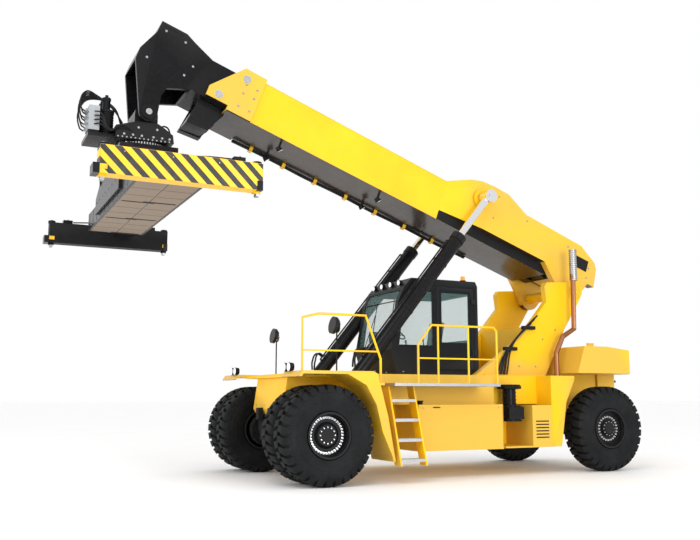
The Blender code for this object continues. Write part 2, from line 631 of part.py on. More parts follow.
def cab_shell(machine):
    half, wall, floor = CAB_HALF_WIDTH, CAB_WALL, DECK_Z + GAP
    outer = prism("X", cab_outline(0.0), -half, half, (0.0, floor))
    room = prism("X", cab_outline(wall), wall - half, half - wall, (0.0, floor))
    glass = half - 0.10
    side_window = [(CAB_Y + 0.16, 0.55), (CAB_Y + 0.28, 1.38), (CAB_Y + 0.38, 1.62),
                   (DOOR_FRONT - 0.08, 1.62), (DOOR_FRONT - 0.08, 0.55)]
    far_window = side_window[:3] + [(DOOR_REAR, 1.62), (DOOR_REAR, 0.55)]
    holes = [
        room,
        box((-glass, glass), (CAB_Y - 0.2, CAB_Y + 0.45), (floor + 0.55, floor + 1.62)),
        box((-glass, glass), (CAB_Y + 1.8, CAB_Y + 2.1), (floor + 0.70, floor + 1.62)),
        box((0.12 - glass, glass - 0.12), (CAB_Y + 0.62, CAB_Y + 1.25),
            (floor + CAB_HEIGHT - 0.3, floor + CAB_HEIGHT + 0.1)),
        prism("X", side_window, half - 0.2, half + 0.1, (0.0, floor)),
        prism("X", far_window, -half - 0.1, 0.2 - half, (0.0, floor)),
        box((half - 0.2, half + 0.1), (DOOR_FRONT, DOOR_REAR),
            (floor + DOOR_BOTTOM, floor + DOOR_TOP)),
    ]
    return part("cab_shell", machine, DARK_GREY, [outer], holes, finish=(0.5, 0.1))


def cab_door(machine):
    """Side door, hinged at its rear edge."""
    gap = GUIDE_GAP
    outer_x, floor = CAB_HALF_WIDTH, DECK_Z + GAP
    y_range = (DOOR_FRONT + gap, DOOR_REAR - gap)
    z_range = (floor + DOOR_BOTTOM + gap, floor + DOOR_TOP - gap)
    window = box((outer_x - 0.2, outer_x + 0.1), (y_range[0] + 0.10, y_range[1] - 0.10),
                 (floor + 0.62, floor + DOOR_TOP - 0.10))
    hinge = (outer_x + DOOR_HINGE_RADIUS + GAP, DOOR_REAR + gap, floor)
    panel = box((outer_x - DOOR_THICKNESS, outer_x), y_range, z_range)
    solids = [panel]
    for height in (0.40, 1.40):
        solids.append(cylinder((hinge[0], hinge[1], floor + height),
                               (hinge[0], hinge[1], floor + height + 0.10),
                               DOOR_HINGE_RADIUS, 16))
        solids.append(box((outer_x - 0.01, outer_x + 0.02), (hinge[1] - 0.06, DOOR_REAR - gap),
                          (floor + height, floor + height + 0.10)))
    return part("cab_door", machine, DARK_GREY, solids, [window], at=hinge, finish=(0.5, 0.1))


def operator_seat(machine):
    floor, y = DECK_Z + CAB_WALL + 2 * GAP, CAB_Y + 1.10
    back = [(y + 0.17, 0.52), (y + 0.28, 0.50), (y + 0.42, 1.20), (y + 0.30, 1.20)]
    solids = [box((-0.20, 0.20), (y - 0.20, y + 0.20), (floor, floor + 0.30)),
              box((-0.27, 0.27), (y - 0.30, y + 0.25), (floor + 0.28, floor + 0.44)),
              prism("X", [(a, b - 0.12) for a, b in back], -0.25, 0.25, (0.0, floor))]
    return part("operator_seat", machine, BLACK, solids, finish=(0.8, 0.0))


def steering_console(machine):
    floor, y = DECK_Z + CAB_WALL + 2 * GAP, CAB_Y + 0.38
    column = [(y - 0.16, 0.0), (y + 0.06, 0.0), (y + 0.10, 0.55), (y + 0.02, 0.62)]
    wheel = cylinder((0.0, y + 0.12, floor + 0.66), (0.0, y + 0.105, floor + 0.68), 0.19, 24)
    shaft = cylinder((0.0, y + 0.04, floor + 0.50), (0.0, y + 0.115, floor + 0.67), 0.03, 12)
    solids = [prism("X", column, -0.14, 0.14, (0.0, floor)), shaft, wheel]
    return part("steering_console", machine, BLACK, solids, finish=(0.6, 0.0))


def cab(machine):
    cab_shell(machine)
    cab_door(machine)
    operator_seat(machine)
    steering_console(machine)


# Boom -----------------------------------------------------------------------------------

def tower(machine):
    """Two side plates on the deck that carry the boom pin between them."""
    y, z = WHEELBASE, DECK_Z + GAP
    pin = (BOOM_PIVOT.y, BOOM_PIVOT.z)
    crown = arc((pin[0] - y, BOOM_PIVOT_OVER_DECK), 0.21, 100, -10, 6)
    side_view = [(-2.616, 0.0), (-2.426, 0.12), (-1.506, 0.75), (-0.816, 1.53), (-0.856, 1.83),
                 (-0.796, 1.92)] + crown + [(-0.026, 1.49), (-0.386, 0.96), (-0.916, 0.0)]
    inner, outer = TOWER_INNER_X, TOWER_INNER_X + TOWER_PLATE
    solids = [prism("X", side_view, *sorted(x_span(side, inner, outer)), (y, z))
              for side in (1, -1)]
    solids.append(box((-inner - 0.02, inner + 0.02), (y - 1.30, y - 0.98), (z, z + 1.0)))
    solids.append(cross_bar((-outer - 0.04, outer + 0.04), pin, BOOM_PIN_RADIUS))
    return part("tower", machine, YELLOW, solids)


def outer_boom(hinge):
    """Outer boom section in the boom frame: pivot at the origin, mouth towards -Y."""
    mouth, half = -OUTER_BOOM_REACH, OUTER_BOOM_HALF_WIDTH
    floor, top, rear = OUTER_BOOM_FLOOR, OUTER_BOOM_TOP, BOOM_REAR_HALF_WIDTH
    side_view = [(-3.45, floor + 0.20), (0.60, floor + 0.20), (0.55, 0.784), (0.47, 0.905),
                 (0.03, 1.112), (-1.517, 1.139), (-2.05, 1.354), (-2.707, 1.355),
                 (-2.935, 1.289), (-3.41, top + 0.015), (-3.45, top)]
    plan = [(half - 0.01, -3.45), (rear, -2.42), (rear, 0.60)]
    cheeks = combine(prism("X", side_view, -rear, rear),
                     [prism("Z", plan + [(-x, y) for x, y in reversed(plan)], 0.0, 2.0)],
                     "INTERSECT")
    collar = [(mouth, top + 0.06), (mouth + 0.44, top + 0.06), (mouth + 0.44, floor - 0.02),
              (mouth - 0.06, floor - 0.02), (mouth - 0.06, floor + 0.08),
              (mouth - 0.49, floor + 0.08), (mouth - 0.49, floor + 0.27)]
    lug = arc((0.0, 0.0), 0.24, 200, 340, 8) + [(0.42, floor + 0.22), (-0.80, floor + 0.22)]
    solids = [box((-half, half), (mouth + 0.02, -0.60), (floor, top)), cheeks,
              prism("X", collar, -half - 0.03, half + 0.03)]
    solids += [prism("X", lug, *sorted(x_span(side, rear - 0.14, rear))) for side in (1, -1)]
    guard = [(mouth - 0.49, floor + 0.10), (mouth - 0.02, floor + 0.10),
             (mouth - 0.21, floor - 0.41), (mouth - 0.58, floor - 0.45)]
    solids.append(prism("X", guard, -0.30, 0.30))
    inside = half - BOOM_WALL
    bore = box((-inside, inside), (mouth - 1.0, 1.0), (floor + BOOM_WALL, top - BOOM_WALL))
    pin_hole = cross_bar((-rear - 0.1, rear + 0.1), (0.0, 0.0), bore_radius(BOOM_PIN_RADIUS))
    shell = combine(combine(solids[0], solids[1:], "UNION"), [bore, pin_hole], "DIFFERENCE")
    return part("outer_boom", hinge, YELLOW, [shell] + wear_pads())


def wear_pads():
    """Pads inside the mouth that guide the inner boom."""
    front = (-OUTER_BOOM_REACH + 0.05, -OUTER_BOOM_REACH + 0.40)
    side_x = (INNER_BOOM_HALF_WIDTH + GUIDE_GAP, OUTER_BOOM_HALF_WIDTH - 0.02)
    low = (OUTER_BOOM_FLOOR + 0.01, INNER_BOOM_FLOOR - GAP)
    high = (INNER_BOOM_TOP + GUIDE_GAP, OUTER_BOOM_TOP - 0.01)
    middle = (OUTER_BOOM_FLOOR + 0.25, OUTER_BOOM_TOP - 0.25)
    pads = []
    for side in (1, -1):
        pads.append(box(x_span(side, 0.12, 0.38), front, low))
        pads.append(box(x_span(side, 0.12, 0.38), front, high))
        pads.append(box(x_span(side, *side_x), front, middle))
    return pads


def inner_boom(slide):
    """Telescopic section with its gooseneck, in the boom frame."""
    pin_y, pin_z = PIN_LOCAL.y, PIN_LOCAL.z
    half, floor, top = INNER_BOOM_HALF_WIDTH, INNER_BOOM_FLOOR, INNER_BOOM_TOP
    neck = [(0.66, floor - pin_z), (0.66, top - pin_z), (0.26, 1.586), (0.07, 1.666),
            (-0.41, 1.66), (-0.415, 1.435), (-0.568, 1.01), (-0.565, 0.795)]
    neck += arc((0.0, 0.0), 0.17, 195, 345, 8)
    neck += [(0.08, 0.38), (0.12, 0.55), (0.50, floor - pin_z)]
    room = [(0.45, -0.5), (0.45, top - pin_z - 0.06), (0.26, 1.53), (0.07, 1.61),
            (-0.36, 1.61), (-0.36, 1.435), (-0.51, 1.01), (-0.51, 0.80), (-0.80, 0.70),
            (-0.80, -0.5)]
    plate = half - GOOSENECK_PLATE
    body = combine(prism("X", neck, -half, half, (pin_y, pin_z)),
                   [prism("X", room, -plate, plate, (pin_y, pin_z))], "DIFFERENCE")
    beam = box((-half, half), (pin_y + 0.55, -0.30), (floor, top))
    pin = cross_bar((-half - 0.02, half + 0.02), (pin_y, pin_z), 0.07)
    tail_pads = [box(x_span(side, 0.12, 0.36), (-0.75, -0.40),
                     (top - 0.01, OUTER_BOOM_TOP - BOOM_WALL - GAP)) for side in (1, -1)]
    tail_pads += [box(x_span(side, 0.12, 0.36), (-0.75, -0.40),
                      (OUTER_BOOM_FLOOR + BOOM_WALL + GAP, floor + 0.01)) for side in (1, -1)]
    return part("inner_boom", slide, BLACK, [beam, body, pin] + tail_pads, finish=(0.25, 0.3))


def lift_cylinder(machine, side, hand):
    """Barrel on the deck lug and rod on the boom, one straight line at rest."""
    foot = LIFT_FOOT + Vector((side * LIFT_X, 0.0, 0.0))
    eye = LIFT_EYE + Vector((side * LIFT_X, 0.0, 0.0))
    along = (eye - foot).normalized()
    eye_x = x_span(side, LIFT_X - LIFT_EYE_HALF_WIDTH, LIFT_X + LIFT_EYE_HALF_WIDTH)
    mouth = foot + along * LIFT_BARREL_LENGTH
    barrel = [cylinder(foot + along * 0.05, mouth, LIFT_BARREL_RADIUS),
              cylinder(mouth - along * 0.14, mouth, LIFT_BARREL_RADIUS + 0.012),
              cross_bar(eye_x, (foot.y, foot.z), LIFT_EYE_RADIUS)]
    holes = [cylinder(foot + along * 0.40, mouth + along * 0.1, LIFT_ROD_RADIUS + RUNNING_GAP),
             cross_bar(x_span(side, LIFT_X - 0.3, LIFT_X + 0.3), (foot.y, foot.z),
                       LIFT_PIN_RADIUS + RUNNING_GAP)]
    part(f"{hand}_lift_barrel", machine, BLACK, barrel, holes, at=foot, finish=(0.3, 0.3))
    rod = [cylinder(eye - along * LIFT_ROD_LENGTH, eye, LIFT_ROD_RADIUS),
           cross_bar(eye_x, (eye.y, eye.z), LIFT_EYE_RADIUS),
           cross_bar(x_span(side, BOOM_REAR_HALF_WIDTH + GUIDE_GAP,
                            LIFT_X + LIFT_EYE_HALF_WIDTH + 0.02), (eye.y, eye.z),
                     LIFT_PIN_RADIUS)]
    part(f"{hand}_lift_rod", machine, CHROME, rod, at=eye, finish=(0.15, 1.0))


# Spreader: every solid is in the frame of the hanger pin --------------------------------

def rotator_hanger(hanger):
    """Cross bar on the gooseneck's pin, with a wide foot, a slew motor and valves."""
    foot = [(-0.18, -0.19), (0.18, -0.19), (0.30, -0.26), (0.44, -0.36), (0.46, SLEW_RING_TOP),
            (-0.54, SLEW_RING_TOP), (-0.54, -0.30)]
    solids = [cross_bar((-0.30, 0.30), (0.0, 0.0), 0.20),
              box((-0.30, 0.30), (-0.20, 0.20), (-0.43, 0.0)),
              prism("X", foot, -0.46, 0.46),
              box((-0.36, 0.36), (-0.98, -0.50), (SLEW_RING_TOP, SLEW_RING_TOP + 0.07)),
              cylinder((0.14, -0.66, -0.46), (0.14, -0.66, 0.0), 0.12),
              cylinder((0.14, -0.66, -0.01), (0.14, -0.66, 0.22), 0.065),
              box((-0.32, -0.06), (-0.78, -0.56), (-0.46, 0.10)),
              box((0.02, 0.33), (-0.97, -0.80), (-0.46, 0.02))]
    hole = cross_bar((-0.5, 0.5), (0.0, 0.0), 0.07 + RUNNING_GAP)
    return part("rotator_hanger", hanger, BLACK, solids, [hole], finish=(0.35, 0.3))


def slew_frame(hanger):
    top = SLEW_RING_TOP - GAP
    slide_top = SPREADER_TOP + GAP
    cradle = [(-0.62, -1.01), (0.62, -1.01), (1.12, slide_top + 0.06), (1.12, slide_top),
              (-1.12, slide_top), (-1.12, slide_top + 0.06)]
    width = SPREADER_HALF_WIDTH + GUIDE_GAP
    solids = [cylinder((0.0, 0.0, -0.70), (0.0, 0.0, top), 0.45),
              box((-0.62, 0.62), (-0.50, 0.50), (-1.05, -0.62)),
              prism("Y", cradle, -width - 0.04, width + 0.04)]
    for side in (1, -1):
        solids.append(box((-1.12, 1.12), sorted((side * width, side * (width + 0.04))),
                          (SPREADER_TOP - 0.22, slide_top + 0.03)))
    return part("slew_frame", hanger, BLACK, solids, finish=(0.35, 0.3))


def spreader_frame(hanger):
    half, width = SPREADER_HALF_LENGTH, SPREADER_HALF_WIDTH
    block = box((-half, half), (-width, width), (SPREADER_FLOOR, SPREADER_TOP))
    holes = []
    for side in (1, -1):
        centre = side * ARM_SPACING / 2
        reach = ARM_WIDTH / 2 + GUIDE_GAP
        holes.append(box((-half - 0.1, half + 0.1), (centre - reach, centre + reach),
                         (ARM_FLOOR, ARM_FLOOR + ARM_HEIGHT + GUIDE_GAP)))
    return part("spreader_frame", hanger, BLACK, [block], holes, finish=(0.35, 0.3))


def end_beam(name, hanger, side):
    """Cross beam with twistlock housings and its own sliding arm."""
    x = TWISTLOCK_X
    reach = TWISTLOCK_Y + END_BEAM_OVERHANG
    centre = -side * ARM_SPACING / 2
    arm_z = (ARM_FLOOR + GAP, ARM_FLOOR + ARM_HEIGHT)
    arm_y = (centre - ARM_WIDTH / 2, centre + ARM_WIDTH / 2)
    solids = [box(x_span(side, x - END_BEAM_HALF_WIDTH, x + END_BEAM_HALF_WIDTH),
                  (-reach, reach), (END_BEAM_FLOOR, END_BEAM_TOP)),
              box(x_span(side, 0.05 - SPREADER_HALF_LENGTH, x - END_BEAM_HALF_WIDTH + 0.03),
                  arm_y, arm_z)]
    holes = []
    for y in (-TWISTLOCK_Y, TWISTLOCK_Y):
        corner = (side * x, y)
        solids.append(cylinder((*corner, END_BEAM_FLOOR - 0.035),
                               (*corner, END_BEAM_FLOOR + 0.02), 0.055))
        holes.append(cylinder((*corner, END_BEAM_FLOOR - 0.2), (*corner, END_BEAM_FLOOR + 0.15),
                              0.030 + RUNNING_GAP))
    return part(name, hanger, YELLOW, solids, holes)


def twistlock(name, hanger, x, y):
    top = END_BEAM_FLOOR - 0.035 - GAP
    head = box((x - 0.052, x + 0.052), (y - 0.027, y + 0.027), (top - 0.045, top))
    stem = cylinder((x, y, top - 0.01), (x, y, END_BEAM_FLOOR + 0.12), 0.030)
    return part(name, hanger, MID_GREY, [head, stem], at=(x, y, top), finish=(0.4, 0.8))


def spreader(hanger):
    rotator_hanger(hanger)
    slew_frame(hanger)
    spreader_frame(hanger)
    for side, hand in ((1, "left"), (-1, "right")):
        end_beam(f"{hand}_end_beam", hanger, side)
        for end, place in ((-1, "front"), (1, "rear")):
            twistlock(f"{hand}_{place}_twistlock", hanger, side * TWISTLOCK_X,
                      end * TWISTLOCK_Y)


def main():
    for obj in list(bpy.data.objects):
        bpy.data.objects.remove(obj, do_unlink=True)
    machine = pivot("machine", None, (0.0, FRONT_AXLE_Y, 0.0))
    running_gear(machine)
    bodywork(machine)
    cab(machine)
    tower(machine)
    hinge = pivot("boom_hinge", machine, BOOM_PIVOT, -BOOM_ANGLE)
    outer_boom(hinge)
    inner_boom(hinge)
    for side, hand in ((1, "left"), (-1, "right")):
        lift_cylinder(machine, side, hand)
    spreader(pivot("hanger_hinge", machine, HANGER_PIN))


main()
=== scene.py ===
"""Looks of the reach stacker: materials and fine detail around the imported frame."""

import json
import math

import bmesh
import bpy
from mathutils import Matrix, Vector


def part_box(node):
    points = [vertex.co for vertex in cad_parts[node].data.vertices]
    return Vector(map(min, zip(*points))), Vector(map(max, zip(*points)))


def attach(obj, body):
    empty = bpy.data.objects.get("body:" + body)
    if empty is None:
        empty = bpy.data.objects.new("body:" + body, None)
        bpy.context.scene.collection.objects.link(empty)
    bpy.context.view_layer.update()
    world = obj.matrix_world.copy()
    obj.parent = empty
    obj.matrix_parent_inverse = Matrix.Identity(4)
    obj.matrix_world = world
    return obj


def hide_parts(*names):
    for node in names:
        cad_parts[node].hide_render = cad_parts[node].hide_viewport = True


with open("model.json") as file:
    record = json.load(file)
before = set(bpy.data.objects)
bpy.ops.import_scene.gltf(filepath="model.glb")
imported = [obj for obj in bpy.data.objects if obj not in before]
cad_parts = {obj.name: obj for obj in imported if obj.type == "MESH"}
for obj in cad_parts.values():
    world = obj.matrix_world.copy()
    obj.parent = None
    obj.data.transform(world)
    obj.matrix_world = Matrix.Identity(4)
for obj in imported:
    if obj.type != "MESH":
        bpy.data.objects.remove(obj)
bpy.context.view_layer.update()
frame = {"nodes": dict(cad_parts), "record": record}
NODES = frame["nodes"]

# Reference places, from the frame -------------------------------------------------------

JOINTS = {joint["name"]: joint for joint in frame["record"]["behaviour"]["joints"]}
BOOM_PIVOT = Vector(JOINTS["boom_lift"]["pos_m"])
HANGER_PIN = Vector(JOINTS["hanger_swing"]["pos_m"])
BOOM_BACK = Vector(JOINTS["boom_telescope"]["axis"]).normalized()      # towards the tail
BOOM_UP = Vector((1.0, 0.0, 0.0)).cross(BOOM_BACK)
BOOM = Matrix.Translation(BOOM_PIVOT) @ Matrix((
    (1.0, BOOM_BACK.x, BOOM_UP.x), (0.0, BOOM_BACK.y, BOOM_UP.y),
    (0.0, BOOM_BACK.z, BOOM_UP.z))).to_4x4()
AXLE = Vector(JOINTS["front_left_spin"]["pos_m"])
FRONT_Y = AXLE.y
REAR_Y = JOINTS["left_steer"]["pos_m"][1]
TYRE_RADIUS = AXLE.z
DECK_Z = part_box("walkway")[1][2] + 0.17


# Materials ------------------------------------------------------------------------------

def new_material(name):
    material = bpy.data.materials.new(name)
    material.use_nodes = True
    return material, material.node_tree.nodes, material.node_tree.links


def noise(nodes, links, scale, detail=4.0, roughness=0.55, stretch=None):
    """Noise in object space; stretch scales the coordinates per axis."""
    place = nodes.new("ShaderNodeTexCoord")
    texture = nodes.new("ShaderNodeTexNoise")
    texture.inputs["Scale"].default_value = scale
    texture.inputs["Detail"].default_value = detail
    texture.inputs["Roughness"].default_value = roughness
    if stretch:
        mapping = nodes.new("ShaderNodeMapping")
        mapping.inputs["Scale"].default_value = stretch
        links.new(place.outputs["Object"], mapping.inputs["Vector"])
        links.new(mapping.outputs["Vector"], texture.inputs["Vector"])
    else:
        links.new(place.outputs["Object"], texture.inputs["Vector"])
    return texture.outputs["Fac"]


def ramp(nodes, links, factor, stops, mode="LINEAR"):
    """Colour ramp; stops are (position, rgb or grey)."""
    node = nodes.new("ShaderNodeValToRGB")
    node.color_ramp.interpolation = mode
    elements = node.color_ramp.elements
    while len(elements) < len(stops):
        elements.new(0.5)
    for element, (position, value) in zip(elements, stops):
        element.position = position
        rgb = (value, value, value) if isinstance(value, float) else value
        element.color = (*rgb, 1.0)
    links.new(factor, node.inputs["Fac"])
    return node.outputs["Color"]


def mix(nodes, links, factor, first, second, blend="MIX"):
    node = nodes.new("ShaderNodeMix")
    node.data_type = "RGBA"
    node.blend_type = blend
    for socket, value in (("Factor", factor), ("A", first), ("B", second)):
        target = [s for s in node.inputs if s.name == socket and s.enabled][0]
        if isinstance(value, bpy.types.NodeSocket):
            links.new(value, target)
        elif isinstance(value, float):
            target.default_value = value
        else:
            target.default_value = (*value, 1.0)
    return [s for s in node.outputs if s.enabled][0]


def bump(nodes, links, height, strength, distance):
    node = nodes.new("ShaderNodeBump")
    node.inputs["Strength"].default_value = strength
    node.inputs["Distance"].default_value = distance
    links.new(height, node.inputs["Height"])
    links.new(node.outputs["Normal"], nodes["Principled BSDF"].inputs["Normal"])


def edge_wear(nodes, links, low=0.54, high=0.60):
    """White on convex edges."""
    geometry = nodes.new("ShaderNodeNewGeometry")
    return ramp(nodes, links, geometry.outputs["Pointiness"], [(low, 0.0), (high, 1.0)])


def painted(name, colour, roughness=0.32, coat=0.35, shade=0.10, dust=0.06):
    """Sprayed enamel: faint mottling, orange peel, road dust and thin worn edges."""
    material, nodes, links = new_material(name)
    shader = nodes["Principled BSDF"]
    dark = tuple(c * (1.0 - shade) for c in colour)
    light = tuple(min(1.0, c * (1.0 + shade * 0.6)) for c in colour)
    broad = ramp(nodes, links, noise(nodes, links, 0.9), [(0.30, dark), (0.72, light)])
    fine = noise(nodes, links, 14.0, 8.0, 0.6)
    dusty = mix(nodes, links, ramp(nodes, links, fine, [(0.45, 0.0), (0.85, dust)]),
                broad, (0.42, 0.38, 0.31))
    is_dark = max(colour) < 0.1
    worn = mix(nodes, links, edge_wear(nodes, links), dusty,
               tuple(c * 0.72 + (0.012 if is_dark else 0.05) for c in colour))
    links.new(worn, shader.inputs["Base Color"])
    gloss = ramp(nodes, links, fine, [(0.3, roughness * 0.85), (0.8, roughness * 1.25)])
    links.new(gloss, shader.inputs["Roughness"])
    shader.inputs["Coat Weight"].default_value = coat * (0.3 if is_dark else 1.0)
    shader.inputs["Coat Roughness"].default_value = 0.12
    shader.inputs["Specular IOR Level"].default_value = 0.09 if is_dark else 0.2
    bump(nodes, links, noise(nodes, links, 160.0, 2.0), 0.10, 0.002)
    return material


def metal(name, colour, roughness, grain=(1.0, 1.0, 1.0), scale=30.0, depth=0.15):
    """Bare metal with a grain that runs along one axis."""
    material, nodes, links = new_material(name)
    shader = nodes["Principled BSDF"]
    shader.inputs["Metallic"].default_value = 1.0
    streak = noise(nodes, links, scale, 6.0, 0.6, grain)
    dark = tuple(c * 0.78 for c in colour)
    links.new(ramp(nodes, links, streak, [(0.25, dark), (0.75, colour)]),
              shader.inputs["Base Color"])
    links.new(ramp(nodes, links, streak, [(0.2, roughness * 0.8), (0.8, roughness * 1.3)]),
              shader.inputs["Roughness"])
    bump(nodes, links, streak, depth, 0.002)
    return material


def galvanised(name):
    """Zinc spangle with dull patches."""
    material, nodes, links = new_material(name)
    shader = nodes["Principled BSDF"]
    shader.inputs["Metallic"].default_value = 0.85
    place = nodes.new("ShaderNodeTexCoord")
    cells = nodes.new("ShaderNodeTexVoronoi")
    cells.inputs["Scale"].default_value = 60.0
    links.new(place.outputs["Object"], cells.inputs["Vector"])
    tone = ramp(nodes, links, cells.outputs["Distance"],
                [(0.0, (0.34, 0.35, 0.36)), (0.7, (0.48, 0.49, 0.50))])
    stain = ramp(nodes, links, noise(nodes, links, 5.0, 6.0), [(0.4, 0.0), (0.8, 0.45)])
    links.new(mix(nodes, links, stain, tone, (0.33, 0.32, 0.29)), shader.inputs["Base Color"])
    links.new(ramp(nodes, links, noise(nodes, links, 20.0), [(0.3, 0.38), (0.7, 0.6)]),
              shader.inputs["Roughness"])
    bump(nodes, links, noise(nodes, links, 90.0, 3.0), 0.15, 0.002)
    return material


def rubber(name, colour=(0.028, 0.028, 0.030), roughness=0.72, grain=55.0):
    """Matte rubber with a fine skin and grey bloom."""
    material, nodes, links = new_material(name)
    shader = nodes["Principled BSDF"]
    bloom = ramp(nodes, links, noise(nodes, links, 3.5, 8.0, 0.65),
                 [(0.38, colour), (0.80, tuple(c * 2.1 + 0.004 for c in colour))])
    links.new(bloom, shader.inputs["Base Color"])
    fine = noise(nodes, links, grain, 6.0, 0.6)
    links.new(ramp(nodes, links, fine, [(0.3, roughness * 0.85), (0.8, roughness * 1.15)]),
              shader.inputs["Roughness"])
    shader.inputs["Specular IOR Level"].default_value = 0.18
    bump(nodes, links, fine, 0.25, 0.004)
    return material


def glazing(name, tint, roughness=0.03, alpha=0.32):
    """Tinted safety glass with faint water marks."""
    material, nodes, links = new_material(name)
    shader = nodes["Principled BSDF"]
    marks = noise(nodes, links, 4.0, 8.0, 0.7)
    links.new(ramp(nodes, links, marks, [(0.3, tint), (0.8, tuple(c * 1.25 for c in tint))]),
              shader.inputs["Base Color"])
    links.new(ramp(nodes, links, marks, [(0.5, roughness), (0.85, roughness * 4)]),
              shader.inputs["Roughness"])
    shader.inputs["Specular IOR Level"].default_value = 0.45
    shader.inputs["Alpha"].default_value = alpha
    return material


def lamp(name, colour, strength):
    """Moulded lens with ribs and a faint glow."""
    material, nodes, links = new_material(name)
    shader = nodes["Principled BSDF"]
    ribs = noise(nodes, links, 60.0, 1.0, 0.3, (1.0, 6.0, 1.0))
    links.new(ramp(nodes, links, ribs, [(0.3, tuple(c * 0.8 for c in colour)), (0.7, colour)]),
              shader.inputs["Base Color"])
    shader.inputs["Roughness"].default_value = 0.12
    shader.inputs["Coat Weight"].default_value = 0.8
    shader.inputs["Emission Color"].default_value = (*colour, 1.0)
    shader.inputs["Emission Strength"].default_value = strength
    bump(nodes, links, ribs, 0.3, 0.003)
    return material


def striped(name, direction, width, origin, first, second):
    """Two paint colours in bands square to a direction, in object space."""
    material, nodes, links = new_material(name)
    shader = nodes["Principled BSDF"]
    place = nodes.new("ShaderNodeTexCoord")
    shift = nodes.new("ShaderNodeVectorMath")
    shift.operation = "SUBTRACT"
    shift.inputs[1].default_value = origin
    dot = nodes.new("ShaderNodeVectorMath")
    dot.operation = "DOT_PRODUCT"
    dot.inputs[1].default_value = Vector(direction).normalized() / (2.0 * width)
    wrap = nodes.new("ShaderNodeMath")
    wrap.operation = "FRACT"
    links.new(place.outputs["Object"], shift.inputs[0])
    links.new(shift.outputs["Vector"], dot.inputs[0])
    links.new(dot.outputs["Value"], wrap.inputs[0])
    band = ramp(nodes, links, wrap.outputs["Value"], [(0.0, 0.0), (0.5, 1.0)], "CONSTANT")
    base = mix(nodes, links, band, first, second)
    grime = ramp(nodes, links, noise(nodes, links, 8.0, 8.0, 0.65), [(0.45, 0.0), (0.8, 0.22)])
    links.new(mix(nodes, links, grime, base, (0.20, 0.18, 0.15)), shader.inputs["Base Color"])
    links.new(ramp(nodes, links, noise(nodes, links, 12.0), [(0.3, 0.35), (0.8, 0.55)]),
              shader.inputs["Roughness"])
    bump(nodes, links, noise(nodes, links, 150.0, 2.0), 0.1, 0.002)
    return material


def two_faced(name, colour, underside_shade_colour, down, low=0.80):
    """Enamel whose faces that look along a direction carry another colour, a painted shade."""
    material = painted(name, colour)
    nodes, links = material.node_tree.nodes, material.node_tree.links
    shader = nodes["Principled BSDF"]
    top = shader.inputs["Base Color"].links[0].from_socket
    place = nodes.new("ShaderNodeTexCoord")
    dot = nodes.new("ShaderNodeVectorMath")
    dot.operation = "DOT_PRODUCT"
    dot.inputs[1].default_value = down
    links.new(place.outputs["Normal"], dot.inputs[0])
    mask = ramp(nodes, links, dot.outputs["Value"], [(low - 0.02, 0.0), (low, 1.0)])
    # Painted shade: a noisy dark brown on the faces that look along the direction.
    painted_underside_shade = ramp(nodes, links, noise(nodes, links, 1.6, 6.0),
                [(0.3, tuple(c * 0.7 for c in underside_shade_colour)), (0.7, tuple(c * 1.5 for c in underside_shade_colour))])
    links.new(mix(nodes, links, mask, top, painted_underside_shade), shader.inputs["Base Color"])
    return material


YELLOW = (0.93, 0.535, 0.006)
YELLOW_PAINT = painted("yellow_enamel", YELLOW, 0.38, 0.08, 0.05, 0.015)
BLACK_PAINT = painted("black_enamel", (0.006, 0.006, 0.007), 0.26, 0.35, 0.3, 0.008)
SATIN_BLACK = painted("satin_black", (0.009, 0.009, 0.010), 0.48, 0.05, 0.3, 0.01)
CAB_GREY = painted("cab_grey", (0.008, 0.009, 0.010), 0.42, 0.1, 0.2, 0.004)
LIGHT_GREY = painted("light_grey_enamel", (0.38, 0.40, 0.42), 0.45, 0.2, 0.12, 0.08)
AXLE_PAINT = painted("axle_black", (0.012, 0.012, 0.013), 0.5, 0.05, 0.3, 0.03)
# The boom's downward faces carry painted shade, a dark brown standing for the shade under the boom.
BOOM_PAINT = two_faced("boom_enamel", YELLOW, (0.030, 0.020, 0.014), -BOOM_UP)
CHROME = metal("hard_chrome", (0.82, 0.83, 0.85), 0.10, (1.0, 1.0, 8.0), 40.0, 0.05)
STEEL = metal("worn_steel", (0.42, 0.42, 0.43), 0.38)
ZINC = galvanised("galvanised_tread")
TYRE = rubber("tyre_rubber", (0.0045, 0.0050, 0.0055))
HOSE = rubber("hose_rubber", (0.008, 0.008, 0.009), 0.5, 120.0)
GLASS = glazing("cab_glass", (0.16, 0.30, 0.28), 0.02, 0.17)
MIRROR_GLASS = metal("mirror_glass", (0.80, 0.84, 0.86), 0.04, (1.0, 1.0, 1.0), 5.0, 0.0)
AMBER = lamp("amber_lens", (1.0, 0.32, 0.02), 0.4)
RED_LENS = lamp("red_lens", (0.65, 0.02, 0.015), 0.1)
CLEAR_LENS = lamp("clear_lens", (0.85, 0.88, 0.90), 0.3)


# Making pieces --------------------------------------------------------------------------

def finish_piece(obj, body, material):
    obj.data.materials.clear()
    obj.data.materials.append(material)
    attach(obj, body)
    return obj


def piece(name, bm, body, material, bevel=0.0, smooth=35.0):
    """Mesh piece from a bmesh, with soft edges where bevel is set."""
    bmesh.ops.recalc_face_normals(bm, faces=bm.faces)
    mesh = bpy.data.meshes.new(name)
    bm.to_mesh(mesh)
    bm.free()
    obj = bpy.data.objects.new(name, mesh)
    bpy.context.scene.collection.objects.link(obj)
    mesh.shade_smooth()
    mesh.set_sharp_from_angle(angle=math.radians(smooth))
    if bevel:
        soften(obj, bevel)
    return finish_piece(obj, body, material)


def soften(obj, width, segments=2):
    rounding = obj.modifiers.new("soft_edges", "BEVEL")
    rounding.width = width
    rounding.segments = segments
    rounding.limit_method = "ANGLE"
    rounding.angle_limit = math.radians(32.0)
    rounding.harden_normals = True


def meshes(count):
    return [bmesh.new() for _ in range(count)]


